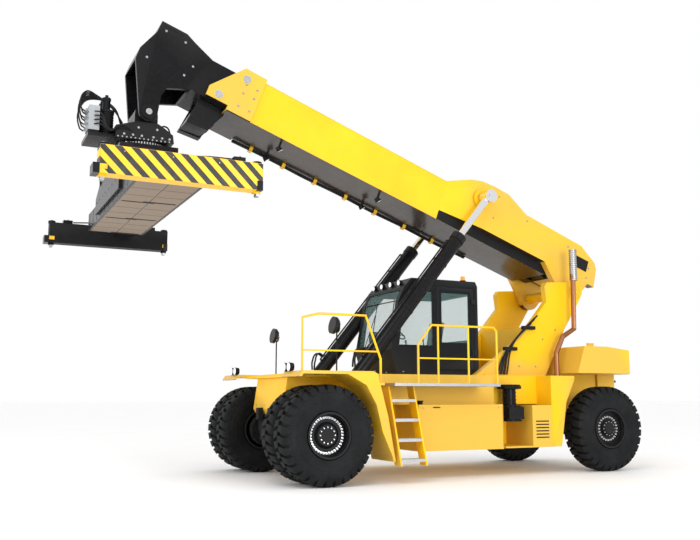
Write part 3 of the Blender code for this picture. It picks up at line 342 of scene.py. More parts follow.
def add_box(bm, low, high, matrix=None):
    """Block between two corners, optionally placed by a matrix."""
    low, high = Vector(low), Vector(high)
    size = high - low
    place = Matrix.Translation((low + high) / 2) @ Matrix.Diagonal((*size, 1.0))
    bmesh.ops.create_cube(bm, size=1.0, matrix=(matrix or Matrix.Identity(4)) @ place)


def add_rod(bm, start, end, radius, sides=16, end_radius=None, matrix=None):
    """Round bar or cone between two points."""
    start, end = Vector(start), Vector(end)
    if matrix:
        start, end = matrix @ start, matrix @ end
    turn = (end - start).to_track_quat("Z", "Y").to_matrix().to_4x4()
    bmesh.ops.create_cone(bm, cap_ends=True, segments=sides, radius1=radius,
                          radius2=radius if end_radius is None else end_radius,
                          depth=(end - start).length,
                          matrix=Matrix.Translation((start + end) / 2) @ turn)


def add_bolt(bm, place, normal, radius=0.016, height=0.014):
    """Hexagon head on a washer, standing on a face."""
    place, normal = Vector(place), Vector(normal).normalized()
    add_rod(bm, place, place + normal * height * 0.3, radius * 1.35, 16)
    add_rod(bm, place, place + normal * height, radius, 6)


def circle(centre, radius, count):
    """Points round a centre in the plane square to X."""
    angles = [2 * math.pi * i / count for i in range(count)]
    return [(centre[0], centre[1] + radius * math.cos(a), centre[2] + radius * math.sin(a))
            for a in angles]


def add_ring(bm, centre, axis, radius, thickness, around=32, section=8):
    """Torus about an axis."""
    turn = Vector(axis).to_track_quat("Z", "Y").to_matrix().to_4x4()
    place = Matrix.Translation(Vector(centre)) @ turn
    rings = []
    for i in range(around):
        a = 2 * math.pi * i / around
        ring = []
        for j in range(section):
            b = 2 * math.pi * j / section
            r = radius + thickness * math.cos(b)
            point = Vector((r * math.cos(a), r * math.sin(a), thickness * math.sin(b)))
            ring.append(bm.verts.new(place @ point))
        rings.append(ring)
    bridge(bm, rings, True)


def bridge(bm, rings, closed):
    """Quads between rings of equal length."""
    pairs = list(zip(rings, rings[1:] + rings[:1])) if closed else list(zip(rings, rings[1:]))
    for first, second in pairs:
        count = len(first)
        for j in range(count):
            k = (j + 1) % count
            bm.faces.new((first[j], first[k], second[k], second[j]))


def add_lathe(bm, profile, centre, side, steps):
    """Closed section (x, radius) turned about the X axis through centre."""
    rings = []
    for i in range(steps):
        a = 2 * math.pi * (i + 0.5) / steps
        rings.append([bm.verts.new((centre[0] + side * x, centre[1] + r * math.cos(a),
                                    centre[2] + r * math.sin(a))) for x, r in profile])
    bridge(bm, rings, True)


def hose(name, points, radius, body, material=None):
    """Smooth hose through its points, with capped ends."""
    curve = bpy.data.curves.new(name, "CURVE")
    curve.dimensions = "3D"
    curve.bevel_depth = radius
    curve.bevel_resolution = 4
    curve.resolution_u = 8
    curve.use_fill_caps = True
    spline = curve.splines.new("BEZIER")
    spline.bezier_points.add(len(points) - 1)
    for knot, point in zip(spline.bezier_points, points):
        knot.co = point
        knot.handle_left_type = knot.handle_right_type = "AUTO"
    obj = bpy.data.objects.new(name, curve)
    bpy.context.scene.collection.objects.link(obj)
    return finish_piece(obj, body, material or HOSE)


def dress(names, material, bevel=0.0):
    """Give CAD nodes a finished material and soft edges."""
    for name in names:
        node = NODES[name]
        for held in node.material_slots:
            held.link = "OBJECT"
            held.material = material
        if bevel:
            soften(node, bevel)


# Wheels ---------------------------------------------------------------------------------

LUGS = 30                    # shoulder lugs around each side of a tyre
TREAD_DEPTH = 0.045


def add_tyre(bm, centre, side, half, radius):
    """Carcass with sidewall ribs and deep cross lugs on the tread."""
    r, base = radius, radius - TREAD_DEPTH
    section = [(-0.72 * half, 0.376), (-0.86 * half, 0.395), (-0.93 * half, 0.46),
               (-0.985 * half, 0.56), (-0.97 * half, 0.565), (-0.99 * half, 0.60),
               (-0.985 * half, 0.66), (-0.93 * half, base - 0.05), (-0.80 * half, base - 0.012),
               (-0.45 * half, base), (0.0, base + 0.002), (0.45 * half, base),
               (0.80 * half, base - 0.012), (0.93 * half, base - 0.05),
               (0.985 * half, 0.66), (0.99 * half, 0.60), (0.97 * half, 0.565),
               (0.985 * half, 0.56), (0.93 * half, 0.46), (0.86 * half, 0.395),
               (0.72 * half, 0.376)]
    add_lathe(bm, section, centre, side, 96)
    for edge in (-1, 1):
        for lug in range(LUGS):
            angle = 2 * math.pi * (lug + 0.25 * edge) / LUGS
            add_lug(bm, centre, edge, angle, half, r)


def add_lug(bm, centre, edge, angle, half, r):
    """One lug from the middle of the tread, over the shoulder, down the sidewall."""
    pitch = 2 * math.pi / LUGS
    stations = [(0.03, r - 0.060, r, 0.34, 0.00), (0.35, r - 0.060, r, 0.37, 0.05),
                (0.68, r - 0.065, r - 0.004, 0.40, 0.16), (0.86, r - 0.085, r - 0.020, 0.41, 0.20),
                (0.965, r - 0.12, r - 0.060, 0.40, 0.22), (0.992, r - 0.15, r - 0.125, 0.36, 0.22)]
    rings = []
    for across, low, high, width, lean in stations:
        x = edge * across * half
        inner_x = edge * (across - (0.10 if across > 0.9 else 0.0)) * half
        ring = []
        for height, px, share in ((low, inner_x, 1.0), (high, x, 0.86)):
            for end in (-1, 1):
                a = angle + pitch * (lean + end * width * share)
                ring.append((px, height, a))
        order = (ring[0], ring[1], ring[3], ring[2])
        rings.append([bm.verts.new((centre[0] + px, centre[1] + height * math.cos(a),
                                    centre[2] + height * math.sin(a)))
                      for px, height, a in order])
    bridge(bm, rings, False)
    bm.faces.new(rings[0])
    bm.faces.new(list(reversed(rings[-1])))


def tyres():
    for joint, nodes in (("front_left_spin", ("front_left_outer_tyre", "front_left_inner_tyre")),
                         ("front_right_spin", ("front_right_outer_tyre",
                                               "front_right_inner_tyre")),
                         ("rear_left_spin", ("rear_left_tyre",)),
                         ("rear_right_spin", ("rear_right_tyre",))):
        body = JOINTS[joint]["child"]
        hub = JOINTS[joint]["pos_m"]
        for node in nodes:
            low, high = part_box(node)
            centre = ((low[0] + high[0]) / 2, hub[1], hub[2])
            bm = bmesh.new()
            add_tyre(bm, centre, 1, (high[0] - low[0]) / 2, (high[2] - low[2]) / 2)
            made = piece(node + "_tread", bm, body, TYRE, 0.0, 28.0)
            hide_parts(node)


def rim_fittings():
    """Bolt circles, lock ring and hub details of each wheel."""
    for node, joint, count, ring in (
            ("front_left_rim", "front_left_spin", 36, 0.255),
            ("front_right_rim", "front_right_spin", 36, 0.255),
            ("rear_left_rim", "rear_left_spin", 24, 0.225),
            ("rear_right_rim", "rear_right_spin", 24, 0.225)):
        low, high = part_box(node)
        side = 1 if high[0] > 0 else -1
        hub = JOINTS[joint]["pos_m"]
        body = JOINTS[joint]["child"]
        outer = high[0] if side > 0 else low[0]
        front = node.startswith("front")
        web = side * (abs(outer) - (0.266 if front else 0.107))
        out = (side, 0.0, 0.0)
        bolts, rings = meshes(2)
        for spot in circle((web, *hub[1:]), ring, count):
            add_bolt(bolts, spot, out, 0.0125, 0.030)
        if front:
            disc = (outer - side * 0.150, *hub[1:])
            add_annulus(rings, disc, side, 0.215, 0.343, 0.014)
            for spot in circle(disc, 0.285, count):
                add_bolt(bolts, spot, out, 0.0150, 0.040)
        inset, radius = (0.086, 0.13) if front else (0.06, 0.128)
        for spot in circle((outer - side * inset, *hub[1:]), radius, 12):
            add_bolt(bolts, spot, out, 0.009, 0.012)
        for radius, thick, inset in ((0.352, 0.012, 0.012), (0.335, 0.008, 0.045)):
            add_ring(rings, (outer - side * inset, hub[1], hub[2]), out, radius, thick, 64)
        add_ring(rings, (web + side * 0.006, hub[1], hub[2]), out, 0.288, 0.008, 64)
        piece(node + "_bolts", bolts, body, CHROME)
        piece(node + "_rings", rings, body, BLACK_PAINT)


def add_annulus(bm, centre, side, inner, outer, thick, segments=64):
    """Flat ring facing along X."""
    loops = []
    for x, radius in ((0.0, inner), (0.0, outer), (-side * thick, outer), (-side * thick, inner)):
        spots = circle((centre[0] + x, centre[1], centre[2]), radius, segments)
        loops.append([bm.verts.new(spot) for spot in spots])
    bridge(bm, loops, True)


# Frame details --------------------------------------------------------------------------

def chassis_details():
    body = "chassis"
    low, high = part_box("left_tank")
    seams, bolts = meshes(2)
    for side in (1, -1):
        face = side * high[0]
        add_box(seams, (face - side * 0.05, high[1] - 0.012, low[2] + 0.02),
                (face + side * 0.0015, high[1] - 0.008, high[2] - 0.02))
        for y in (low[1] + 0.10, high[1] - 0.10):
            add_bolt(bolts, (face, y, high[2] - 0.06), (side, 0, 0), 0.009, 0.008)
        hinge_y = low[1] + 0.30
        add_rod(seams, (face + side * 0.004, hinge_y, high[2] - 0.05),
                (face + side * 0.004, hinge_y + 0.14, high[2] - 0.05), 0.010, 12)
    piece("tank_seams", seams, body, SATIN_BLACK)
    caps = bmesh.new()
    neck = Vector((high[0] - 0.30, low[1] + 0.20, high[2]))
    for z0, z1, radius, sides in ((-0.01, 0.05, 0.055, 24), (0.05, 0.07, 0.068, 12)):
        add_rod(caps, neck + Vector((0, 0, z0)), neck + Vector((0, 0, z1)), radius, sides)
    piece("filler_cap", caps, body, SATIN_BLACK, 0.004)
    for x in (-0.62, -0.2, 0.2, 0.62):
        add_bolt(bolts, (x, FRONT_Y - 0.285, 1.28), (0, -1, 0.1), 0.018, 0.016)
    piece("frame_bolts", bolts, body, STEEL)
    lamps(body)
    tread_plates()


def lamps(body):
    """Head lamps, indicators and tail lamps."""
    housings, lenses, ambers, reds = meshes(4)
    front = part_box("left_fender")[0][1]
    for side in (1, -1):
        for x, z in ((1.32, 1.93), (1.52, 1.93)):
            add_rod(housings, (side * x, front + 0.10, z), (side * x, front + 0.02, z), 0.065, 24,
                    0.075)
            add_rod(lenses, (side * x, front + 0.022, z), (side * x, front + 0.012, z), 0.068, 24)
            add_box(housings, (side * x - 0.012, front + 0.06, 1.859),
                    (side * x + 0.012, front + 0.09, z))
        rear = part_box("counterweight")[1][1]
        add_box(housings, (side * 0.92 - 0.09, rear - 0.01, 1.97),
                (side * 0.92 + 0.09, rear + 0.012, 2.16))
        add_rod(reds, (side * 0.92, rear + 0.008, 2.11), (side * 0.92, rear + 0.022, 2.11), 0.034)
        add_rod(ambers, (side * 0.92, rear + 0.008, 2.02), (side * 0.92, rear + 0.022, 2.02),
                0.034)
    piece("lamp_housings", housings, body, SATIN_BLACK, 0.003)
    piece("lamp_lenses", lenses, body, CLEAR_LENS)
    piece("amber_lenses", ambers, body, AMBER)
    piece("red_lenses", reds, body, RED_LENS)


def tread_plates():
    """Raised studs on the walkway."""
    bm = bmesh.new()
    low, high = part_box("walkway")
    spacing = 0.055
    for i in range(int((high[0] - low[0] - 0.06) / spacing)):
        for j in range(int((high[1] - low[1] - 0.06) / spacing)):
            x, y = low[0] + 0.05 + i * spacing, low[1] + 0.05 + j * spacing
            lean = 0.5 if (i + j) % 2 else -0.5
            turn = Matrix.Translation((x, y, high[2])) @ Matrix.Rotation(lean * 1.57, 4, "Z")
            add_box(bm, (-0.016, -0.004, -0.001), (0.016, 0.004, 0.0035), turn)
    piece("walkway_studs", bm, "chassis", ZINC)


def ladder_treads():
    """Serrated grating and an edge plate on each of the ladder's treads."""
    low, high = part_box("access_ladder")
    foot, top = low[2], high[2]
    bars = bmesh.new()
    for n in range(4):
        level = 0.38 + n * (top - 0.25 - 0.38 + 0.0003) / 3
        x = 1.61 + 0.43 * (top - level) / (top - foot)
        for k in range(7):
            y = low[1] + 0.045 + 0.07 * k
            add_box(bars, (x - 0.108, y - 0.006, level + 0.019), (x + 0.108, y + 0.006,
                                                                 level + 0.026))
        for k in range(5):
            dx = -0.10 + 0.05 * k
            add_box(bars, (x + dx - 0.004, low[1] + 0.035, level + 0.018),
                    (x + dx + 0.004, high[1] - 0.035, level + 0.028))
        add_box(bars, (x + 0.104, low[1] + 0.032, level - 0.021),
                (x + 0.114, high[1] - 0.032, level + 0.028))
    piece("ladder_gratings", bars, "chassis", ZINC)


def cylinder_feet():
    """Bands, pipes and hoses of the lift cylinders."""
    for hand, side in (("left", 1), ("right", -1)):
        foot = Vector(JOINTS[f"{hand}_barrel_swing"]["pos_m"])
        along = Vector(JOINTS[f"{hand}_rod_slide"]["axis"]).normalized()
        barrel = f"{hand}_lift_barrel"
        bands = bmesh.new()
        for distance in (0.55, 1.7, 2.9):
            spot = foot + along * distance
            add_rod(bands, spot - along * 0.02, spot + along * 0.02, 0.142, 32)
        rise = Vector((0, -along.z, along.y))
        pipe_start, pipe_end = foot + along * 0.42, foot + along * 3.35
        add_rod(bands, pipe_start + rise * 0.165, pipe_end + rise * 0.165, 0.016, 12)
        for end in (pipe_end, pipe_start):
            add_rod(bands, end + rise * 0.165, end + rise * 0.10, 0.02, 12)
        piece(f"{hand}_barrel_bands", bands, barrel, BLACK_PAINT, 0.002)
        for n, spread in enumerate((-0.05, 0.05)):
            start = foot + along * 0.50 + rise * 0.16 + Vector((side * spread, 0, 0))
            hose(f"{hand}_foot_hose_{n}",
                 [start, start + rise * 0.12 - along * 0.03,
                  foot + along * 0.30 + rise * (0.24 + 0.02 * n) + Vector((side * spread, 0, 0)),
                  foot + along * 0.16 + rise * 0.15 + Vector((side * spread, 0, 0))], 0.017,
                 barrel)
    eye_bolts = bmesh.new()
    for side in (1, -1):
        foot = Vector(JOINTS["left_barrel_swing"]["pos_m"])
        x = side * 1.135
        for dy, dz in ((-0.09, -0.05), (0.09, -0.05), (0.0, 0.05)):
            add_bolt(eye_bolts, (x, foot.y + dy, foot.z + dz), (side, 0, 0), 0.012, 0.012)
    piece("foot_bolts", eye_bolts, "chassis", STEEL)


# Cab ------------------------------------------------------------------------------------

def cab_glass():
    """Panes set in the cut windows, with rubber seals."""
    low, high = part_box("cab_shell")
    cab_y, floor, half = low[1], low[2], high[0]
    side_view = [(cab_y + 0.175, floor + 0.56), (cab_y + 0.29, floor + 1.38),
                 (cab_y + 0.39, floor + 1.61), (cab_y + 0.92, floor + 1.61),
                 (cab_y + 0.92, floor + 0.56)]
    far = side_view[:3] + [(cab_y + 1.85, floor + 1.61), (cab_y + 1.85, floor + 0.56)]
    pane("left_side_glass", [(half - 0.012, y, z) for y, z in side_view], (1, 0, 0))
    pane("right_side_glass", [(0.012 - half, y, z) for y, z in far], (-1, 0, 0))
    w = half - 0.105
    pane("rear_glass", [(x, high[1] - 0.012, z) for x, z in (
        (-w, floor + 0.71), (w, floor + 0.71), (w, floor + 1.61), (-w, floor + 1.61))], (0, 1, 0))
    pane("roof_glass", [(x, y, high[2] - 0.012) for x, y in (
        (0.125 - w, cab_y + 0.63), (w - 0.125, cab_y + 0.63), (w - 0.125, cab_y + 1.24),
        (0.125 - w, cab_y + 1.24))], (0, 0, 1))
    lower = [(cab_y + 0.03, floor + 0.56), (cab_y + 0.18, floor + 1.40)]
    upper = [(cab_y + 0.18, floor + 1.40), (cab_y + 0.285, floor + 1.61)]
    for name, (a, b) in (("windscreen", lower), ("upper_windscreen", upper)):
        pane(name, [(-w, a[0], a[1]), (w, a[0], a[1]), (w, b[0], b[1]), (-w, b[0], b[1])],
             (0, -1, 0.2))
    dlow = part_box("cab_door")[0]
    y0, y1 = dlow[1] + 0.105, dlow[1] + 0.735
    z0, z1 = floor + 0.625, floor + 1.605
    pane("door_glass", [(dlow[0] + 0.035, y, z) for y, z in
                        ((y0, z0), (y1, z0), (y1, z1), (y0, z1))], (1, 0, 0), "cab_door")


def pane(name, corners, normal, body="chassis"):
    bm = bmesh.new()
    normal = Vector(normal).normalized()
    front = [bm.verts.new(Vector(c)) for c in corners]
    face = bm.faces.new(front)
    grown = bmesh.ops.extrude_face_region(bm, geom=[face])["geom"]
    bmesh.ops.translate(bm, vec=normal * -0.006,
                        verts=[v for v in grown if isinstance(v, bmesh.types.BMVert)])
    piece(name, bm, body, GLASS)
    seal = bmesh.new()
    loop = [Vector(c) + normal * 0.001 for c in corners]
    for a, b in zip(loop, loop[1:] + loop[:1]):
        add_rod(seal, a, b, 0.010, 8)
    piece(name + "_seal", seal, body, HOSE)


def cab_fittings():
    low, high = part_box("cab_shell")
    cab_y, floor, top = low[1], low[2], high[2]
    bm = bmesh.new()
    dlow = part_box("cab_door")[0]
    add_rod(bm, (dlow[0] + 0.075, dlow[1] + 0.06, floor + 0.66),
            (dlow[0] + 0.075, dlow[1] + 0.06, floor + 0.90), 0.010, 12)
    for z in (0.67, 0.89):
        add_rod(bm, (dlow[0] + 0.045, dlow[1] + 0.06, floor + z),
                (dlow[0] + 0.078, dlow[1] + 0.06, floor + z), 0.009, 12)
    piece("door_handle", bm, "cab_door", SATIN_BLACK, 0.002)
    bm = bmesh.new()
    for x in (-0.35, 0.35):
        pivot = Vector((x, cab_y + 0.01, floor + 0.55))
        tip = Vector((x + 0.25, cab_y + 0.12, floor + 1.18))
        add_rod(bm, pivot, tip, 0.007, 10)
        add_rod(bm, pivot + Vector((0, 0.04, 0)), pivot - Vector((0, 0.012, 0)), 0.018, 16)
        along = Vector((0.0, 0.15, 0.84)).normalized()
        add_box(bm, (-0.006, -0.006, -0.30), (0.006, 0.006, 0.30), Matrix.Translation(
            tip - Vector((0, 0.004, 0.05))) @ along.to_track_quat("Z", "Y").to_matrix().to_4x4())
    piece("wipers", bm, "chassis", SATIN_BLACK)
    bm = bmesh.new()
    for x in (-0.52, -0.18, 0.18, 0.52):
        add_rod(bm, (x, cab_y + 0.42, top - 0.08), (x, cab_y + 0.36, top - 0.08), 0.012, 12)
        add_rod(bm, (x, cab_y + 0.37, top - 0.075), (x, cab_y + 0.30, top - 0.08), 0.045, 20,
                0.055)
    piece("roof_lamps", bm, "chassis", SATIN_BLACK, 0.002)
    bm = bmesh.new()
    for x in (-0.52, -0.18, 0.18, 0.52):
        add_rod(bm, (x, cab_y + 0.302, top - 0.08), (x, cab_y + 0.294, top - 0.08), 0.049, 20)
    piece("roof_lamp_lenses", bm, "chassis", CLEAR_LENS)
    bm = bmesh.new()
    add_rod(bm, (0.63, cab_y + 1.70, top), (0.63, cab_y + 1.70, top + 0.03), 0.06, 20)
    piece("beacon_base", bm, "chassis", SATIN_BLACK, 0.003)
    bm = bmesh.new()
    add_rod(bm, (0.63, cab_y + 1.70, top + 0.03), (0.63, cab_y + 1.70, top + 0.11), 0.05, 24,
            0.042)
    piece("beacon_lens", bm, "chassis", AMBER, 0.008)


def operator_station():
    """Padded seat, steering wheel, levers and display."""
    low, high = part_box("operator_seat")
    mid_y = (low[1] + high[1]) / 2
    base_z = low[2]
    bm = bmesh.new()
    add_box(bm, (-0.17, low[1] + 0.10, base_z), (0.17, low[1] + 0.48, base_z + 0.05))
    for n in range(5):
        inset = 0.012 * (n % 2)
        z = base_z + 0.05 + n * 0.04
        add_box(bm, (-0.16 + inset, low[1] + 0.12 + inset, z),
                (0.16 - inset, low[1] + 0.46 - inset, z + 0.04))
    base = piece("seat_bellows", bm, "chassis", HOSE, 0.006)
    cushion = cushion_piece("seat_cushion", (-0.25, low[1] + 0.01, base_z + 0.27),
                            (0.25, low[1] + 0.50, base_z + 0.42))
    lean = Matrix.Rotation(-0.17, 4, "X")
    backrest = cushion_piece("seat_backrest", (-0.24, -0.055, 0.0), (0.24, 0.055, 0.60),
                             Matrix.Translation((0.0, mid_y + 0.21, base_z + 0.42)) @ lean)
    head = cushion_piece("seat_headrest", (-0.13, -0.04, 0.0), (0.13, 0.04, 0.16),
                         Matrix.Translation((0.0, mid_y + 0.30, base_z + 0.91)) @ lean)
    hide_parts("operator_seat")
    clow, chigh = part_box("steering_console")
    bm = bmesh.new()
    hub = Vector((0.0, chigh[1] - 0.10, chigh[2] - 0.03))
    axis = Vector((0, 0.55, 0.83)).normalized()
    add_ring(bm, hub, axis, 0.17, 0.014, 40, 10)
    turn = axis.to_track_quat("Z", "Y").to_matrix().to_4x4()
    for a in (90, 210, 330):
        rim = Matrix.Translation(hub) @ turn @ Vector((
            0.165 * math.cos(math.radians(a)), 0.165 * math.sin(math.radians(a)), 0.0))
        add_rod(bm, hub, rim, 0.011, 10)
    add_rod(bm, hub - axis * 0.03, hub + axis * 0.02, 0.04, 20)
    add_rod(bm, Vector((0.0, clow[1] + 0.20, chigh[2] - 0.28)), hub, 0.028, 16)
    add_box(bm, (-0.13, clow[1] + 0.01, clow[2]), (0.13, clow[1] + 0.20, chigh[2] - 0.20))
    add_box(bm, (-0.10, clow[1] + 0.16, chigh[2] - 0.24), (0.10, clow[1] + 0.20, chigh[2] - 0.10))
    wheel = piece("steering_wheel", bm, "chassis", SATIN_BLACK, 0.006)
    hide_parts("steering_console")
    bm = bmesh.new()
    for side in (1, -1):
        add_box(bm, (side * 0.30, mid_y - 0.25, base_z + 0.42),
                (side * 0.38, mid_y + 0.12, base_z + 0.50))
        add_rod(bm, (side * 0.34, mid_y - 0.20, base_z + 0.50),
                (side * 0.34, mid_y - 0.22, base_z + 0.63), 0.012, 12)
        add_rod(bm, (side * 0.34, mid_y - 0.22, base_z + 0.61),
                (side * 0.34, mid_y - 0.225, base_z + 0.68), 0.022, 16, 0.018)
        add_box(bm, (side * 0.27, mid_y - 0.02, base_z + 0.30),
                (side * 0.36, mid_y + 0.04, base_z + 0.44))
    add_box(bm, (-0.62, clow[1] + 0.02, clow[2] + 0.62), (-0.36, clow[1] + 0.08, clow[2] + 0.82))
    add_rod(bm, (-0.60, clow[1] + 0.06, clow[2] + 0.45), (-0.50, clow[1] + 0.06, clow[2] + 0.64),
            0.014, 12)
    piece("armrests_and_levers", bm, "chassis", SATIN_BLACK, 0.008)


def cushion_piece(name, low, high, place=None):
    """Crowned cushion with a sewn centre panel."""
    bm = bmesh.new()
    size = Vector(high) - Vector(low)
    bmesh.ops.create_cube(bm, size=1.0)
    bmesh.ops.subdivide_edges(bm, edges=bm.edges, cuts=9, use_grid_fill=True)
    for vert in bm.verts:
        x, y, z = vert.co * 2
        thin = min(range(3), key=lambda i: size[i])
        others = [i for i in range(3) if i != thin]
        c = [x, y, z]
        crown = (1 - c[others[0]] ** 4) * (1 - c[others[1]] ** 4)
        channel = 0.10 * math.exp(-((abs(c[others[0]]) - 0.45) / 0.07) ** 2)
        c[thin] *= 0.66 + 0.34 * crown - channel * crown
        for i in others:
            c[i] *= 1.0 - 0.035 * (1 - abs(c[others[0] if i != others[0] else others[1]])) ** 2
        vert.co = Vector([c[i] * size[i] / 2 for i in range(3)])
    middle = (Vector(low) + Vector(high)) / 2
    bmesh.ops.translate(bm, verts=bm.verts, vec=middle)
    if place:
        bmesh.ops.transform(bm, verts=bm.verts, matrix=place)
    made = piece(name, bm, "chassis", SEAT_VINYL, 0.0, 80.0)
    smooth = made.modifiers.new("smooth", "SUBSURF")
    smooth.levels = smooth.render_levels = 1
    return made


def woven(name, colour):
    """Seat cloth: crossed threads with a soft sheen."""
    material, nodes, links = new_material(name)
    shader = nodes["Principled BSDF"]
    warp = noise(nodes, links, 90.0, 2.0, 0.5, (8.0, 1.0, 1.0))
    weft = noise(nodes, links, 90.0, 2.0, 0.5, (1.0, 8.0, 8.0))
    thread = mix(nodes, links, 0.5, warp, weft)
    links.new(ramp(nodes, links, thread, [(0.35, tuple(c * 0.6 for c in colour)),
                                          (0.65, tuple(c * 1.5 for c in colour))]),
              shader.inputs["Base Color"])
    shader.inputs["Roughness"].default_value = 0.9
    shader.inputs["Sheen Weight"].default_value = 0.3
    bump(nodes, links, thread, 0.5, 0.002)
    return material


SEAT_VINYL = woven("seat_cloth", (0.022, 0.023, 0.026))


# Boom -----------------------------------------------------------------------------------

MOUTH = -8.0                 # boom frame: pivot at the origin, mouth towards -Y
FLOOR_Z, TOP_Z, HALF = 0.19, 1.03, 0.55


def in_boom(point):
    return BOOM @ Vector(point)


def boom_details():
    welds, bolts, black, pins = meshes(4)
    for side in (1, -1):
        x = side * HALF
        for z in (FLOOR_Z + 0.012, TOP_Z - 0.012):
            add_box(welds, (x - 0.004, MOUTH + 0.46, z - 0.008), (x + 0.004, -3.45, z + 0.008),
                    BOOM)
        for y, z in ((MOUTH + 0.087, 0.899), (MOUTH - 0.282, 0.377)):
            add_rod(welds, (x + side * 0.028, y, z), (x + side * 0.036, y, z), 0.098, 32, None,
                    BOOM)
            add_rod(pins, (x + side * 0.034, y, z), (x + side * 0.044, y, z), 0.080, 32, None,
                    BOOM)
            for spot in circle((x + side * 0.043, y, z), 0.048, 5):
                add_bolt(pins, in_boom(spot), (side, 0, 0), 0.012, 0.010)
        cheek = side * 0.72
        for y, z, radius in ((-2.611, 0.976, 0.20), (0.0, 0.0, 0.21)):
            add_rod(welds, (cheek - side * 0.01, y, z), (cheek + side * 0.004, y, z), radius, 40,
                    None, BOOM)
        for y, z in ((-2.25, 1.20), (-2.25, 0.72), (-1.45, 1.02), (-0.30, 0.95), (0.35, 0.72),
                     (0.35, 0.50)):
            add_bolt(bolts, in_boom((cheek, y, z)), (side, 0, 0), 0.014, 0.012)
        add_box(black, (cheek - side * 0.001, -0.10, 0.62), (cheek + side * 0.012, 0.30, 0.86),
                BOOM)
    piece("boom_welds", welds, "outer_boom", YELLOW_PAINT, 0.003)
    piece("boom_bolts", bolts, "outer_boom", STEEL)
    piece("boom_caps", black, "outer_boom", BLACK_PAINT, 0.003)
    skirts = bmesh.new()
    for side in (1, -1):
        add_box(skirts, (side * HALF - 0.001, -3.40, FLOOR_Z + 0.001),
                (side * (HALF + 0.004), -0.60, FLOOR_Z + 0.199), BOOM)
        add_box(skirts, (side * (HALF + 0.03) - side * 0.002, MOUTH - 0.05, FLOOR_Z - 0.022),
                (side * (HALF + 0.034), MOUTH + 0.43, FLOOR_Z - 0.002), BOOM)
    piece("belly_skirts", skirts, "outer_boom", SATIN_BLACK, 0.001)
    piece("head_pins", pins, "outer_boom", GUARD_STEEL, 0.002)
    mouth_guard()
    boom_track()
    boom_pads()


def mouth_guard():
    """Black cover over the guard that hangs below the mouth, with end flanges."""
    skin = 0.006
    outline = [(MOUTH - 0.49 - skin, FLOOR_Z + 0.07), (MOUTH - 0.02 + skin, FLOOR_Z + 0.07),
               (MOUTH - 0.21 + skin, FLOOR_Z - 0.41 - skin),
               (MOUTH - 0.58 - skin, FLOOR_Z - 0.45 - skin)]
    bm = bmesh.new()
    add_prism(bm, outline, -0.306, 0.306, BOOM)
    rim = [(MOUTH - 0.53, FLOOR_Z + 0.06), (MOUTH + 0.02, FLOOR_Z + 0.06),
           (MOUTH - 0.19, FLOOR_Z - 0.43), (MOUTH - 0.59, FLOOR_Z - 0.465)]
    for side in (1, -1):
        add_prism(bm, rim, side * 0.30, side * 0.325, BOOM)
        add_prism(bm, [(MOUTH - 0.585, FLOOR_Z - 0.39), (MOUTH - 0.16, FLOOR_Z - 0.35),
                       (MOUTH - 0.17, FLOOR_Z - 0.435), (MOUTH - 0.59, FLOOR_Z - 0.468)],
                  side * 0.18, side * 0.34, BOOM)
    piece("mouth_guard", bm, "outer_boom", BLACK_PAINT, 0.004)


def add_prism(bm, outline, low, high, matrix):
    """Outline in (y, z) extruded along X between two places."""
    ends = [[bm.verts.new(matrix @ Vector((x, y, z))) for y, z in outline] for x in (low, high)]
    bridge(bm, ends, False)
    bm.faces.new(ends[0])
    bm.faces.new(list(reversed(ends[1])))


def boom_track():
    """Hose track and brackets below the right-hand bottom edge."""
    clamps, lamps_bm, lens = meshes(3)
    x, z = -HALF + 0.035, FLOOR_Z - 0.045
    for n in range(7):
        y = MOUTH + 0.85 + n * 0.72
        add_box(clamps, (x - 0.055, y - 0.035, z - 0.030), (x + 0.055, y + 0.035, z - 0.045),
                BOOM)
        for edge in (-0.055, 0.047):
            add_box(clamps, (x + edge, y - 0.035, z - 0.040), (x + edge + 0.008, y + 0.035,
                                                              FLOOR_Z + 0.002), BOOM)
    piece("track_clamps", clamps, "outer_boom", YELLOW_PAINT, 0.002)
    for n, (dx, dz) in enumerate(((-0.028, 0.012), (0.0, 0.012), (0.028, 0.012),
                                  (-0.014, -0.014), (0.014, -0.014))):
        points = [in_boom((x + dx, MOUTH + 0.45 + i * 0.8, z + dz +
                           (0.010 if i % 2 else -0.004))) for i in range(8)]
        hose(f"track_hose_{n}", points, 0.0125, "outer_boom")
    for y in (MOUTH + 1.15, MOUTH + 3.35):
        for side in (1, -1):
            px = side * (HALF - 0.20)
            add_box(lamps_bm, (px - 0.012, y - 0.02, FLOOR_Z - 0.10),
                    (px + 0.012, y + 0.02, FLOOR_Z + 0.005), BOOM)
            add_rod(lamps_bm, (px, y - 0.03, FLOOR_Z - 0.10), (px, y + 0.04, FLOOR_Z - 0.15),
                    0.045, 24, 0.062, BOOM)
            add_rod(lens, (px, y + 0.038, FLOOR_Z - 0.149), (px, y + 0.044, FLOOR_Z - 0.154),
                    0.056, 24, None, BOOM)
    piece("boom_lamps", lamps_bm, "outer_boom", SATIN_BLACK, 0.003)
    piece("boom_lamp_lenses", lens, "outer_boom", CLEAR_LENS)


def boom_pads():
    """Adjusting screws of the wear pads around the mouth."""
    bm = bmesh.new()
    for side in (1, -1):
        for y in (MOUTH + 0.12, MOUTH + 0.34):
            for z in (0.36, 0.62, 0.80):
                add_bolt(bm, in_boom((side * (HALF + 0.03), y, z)), (side, 0, 0), 0.016, 0.014)
            for x in (0.16, 0.34):
                add_bolt(bm, in_boom((side * x, y, TOP_Z + 0.06)), BOOM_UP, 0.016, 0.014)
    piece("mouth_bolts", bm, "outer_boom", STEEL)


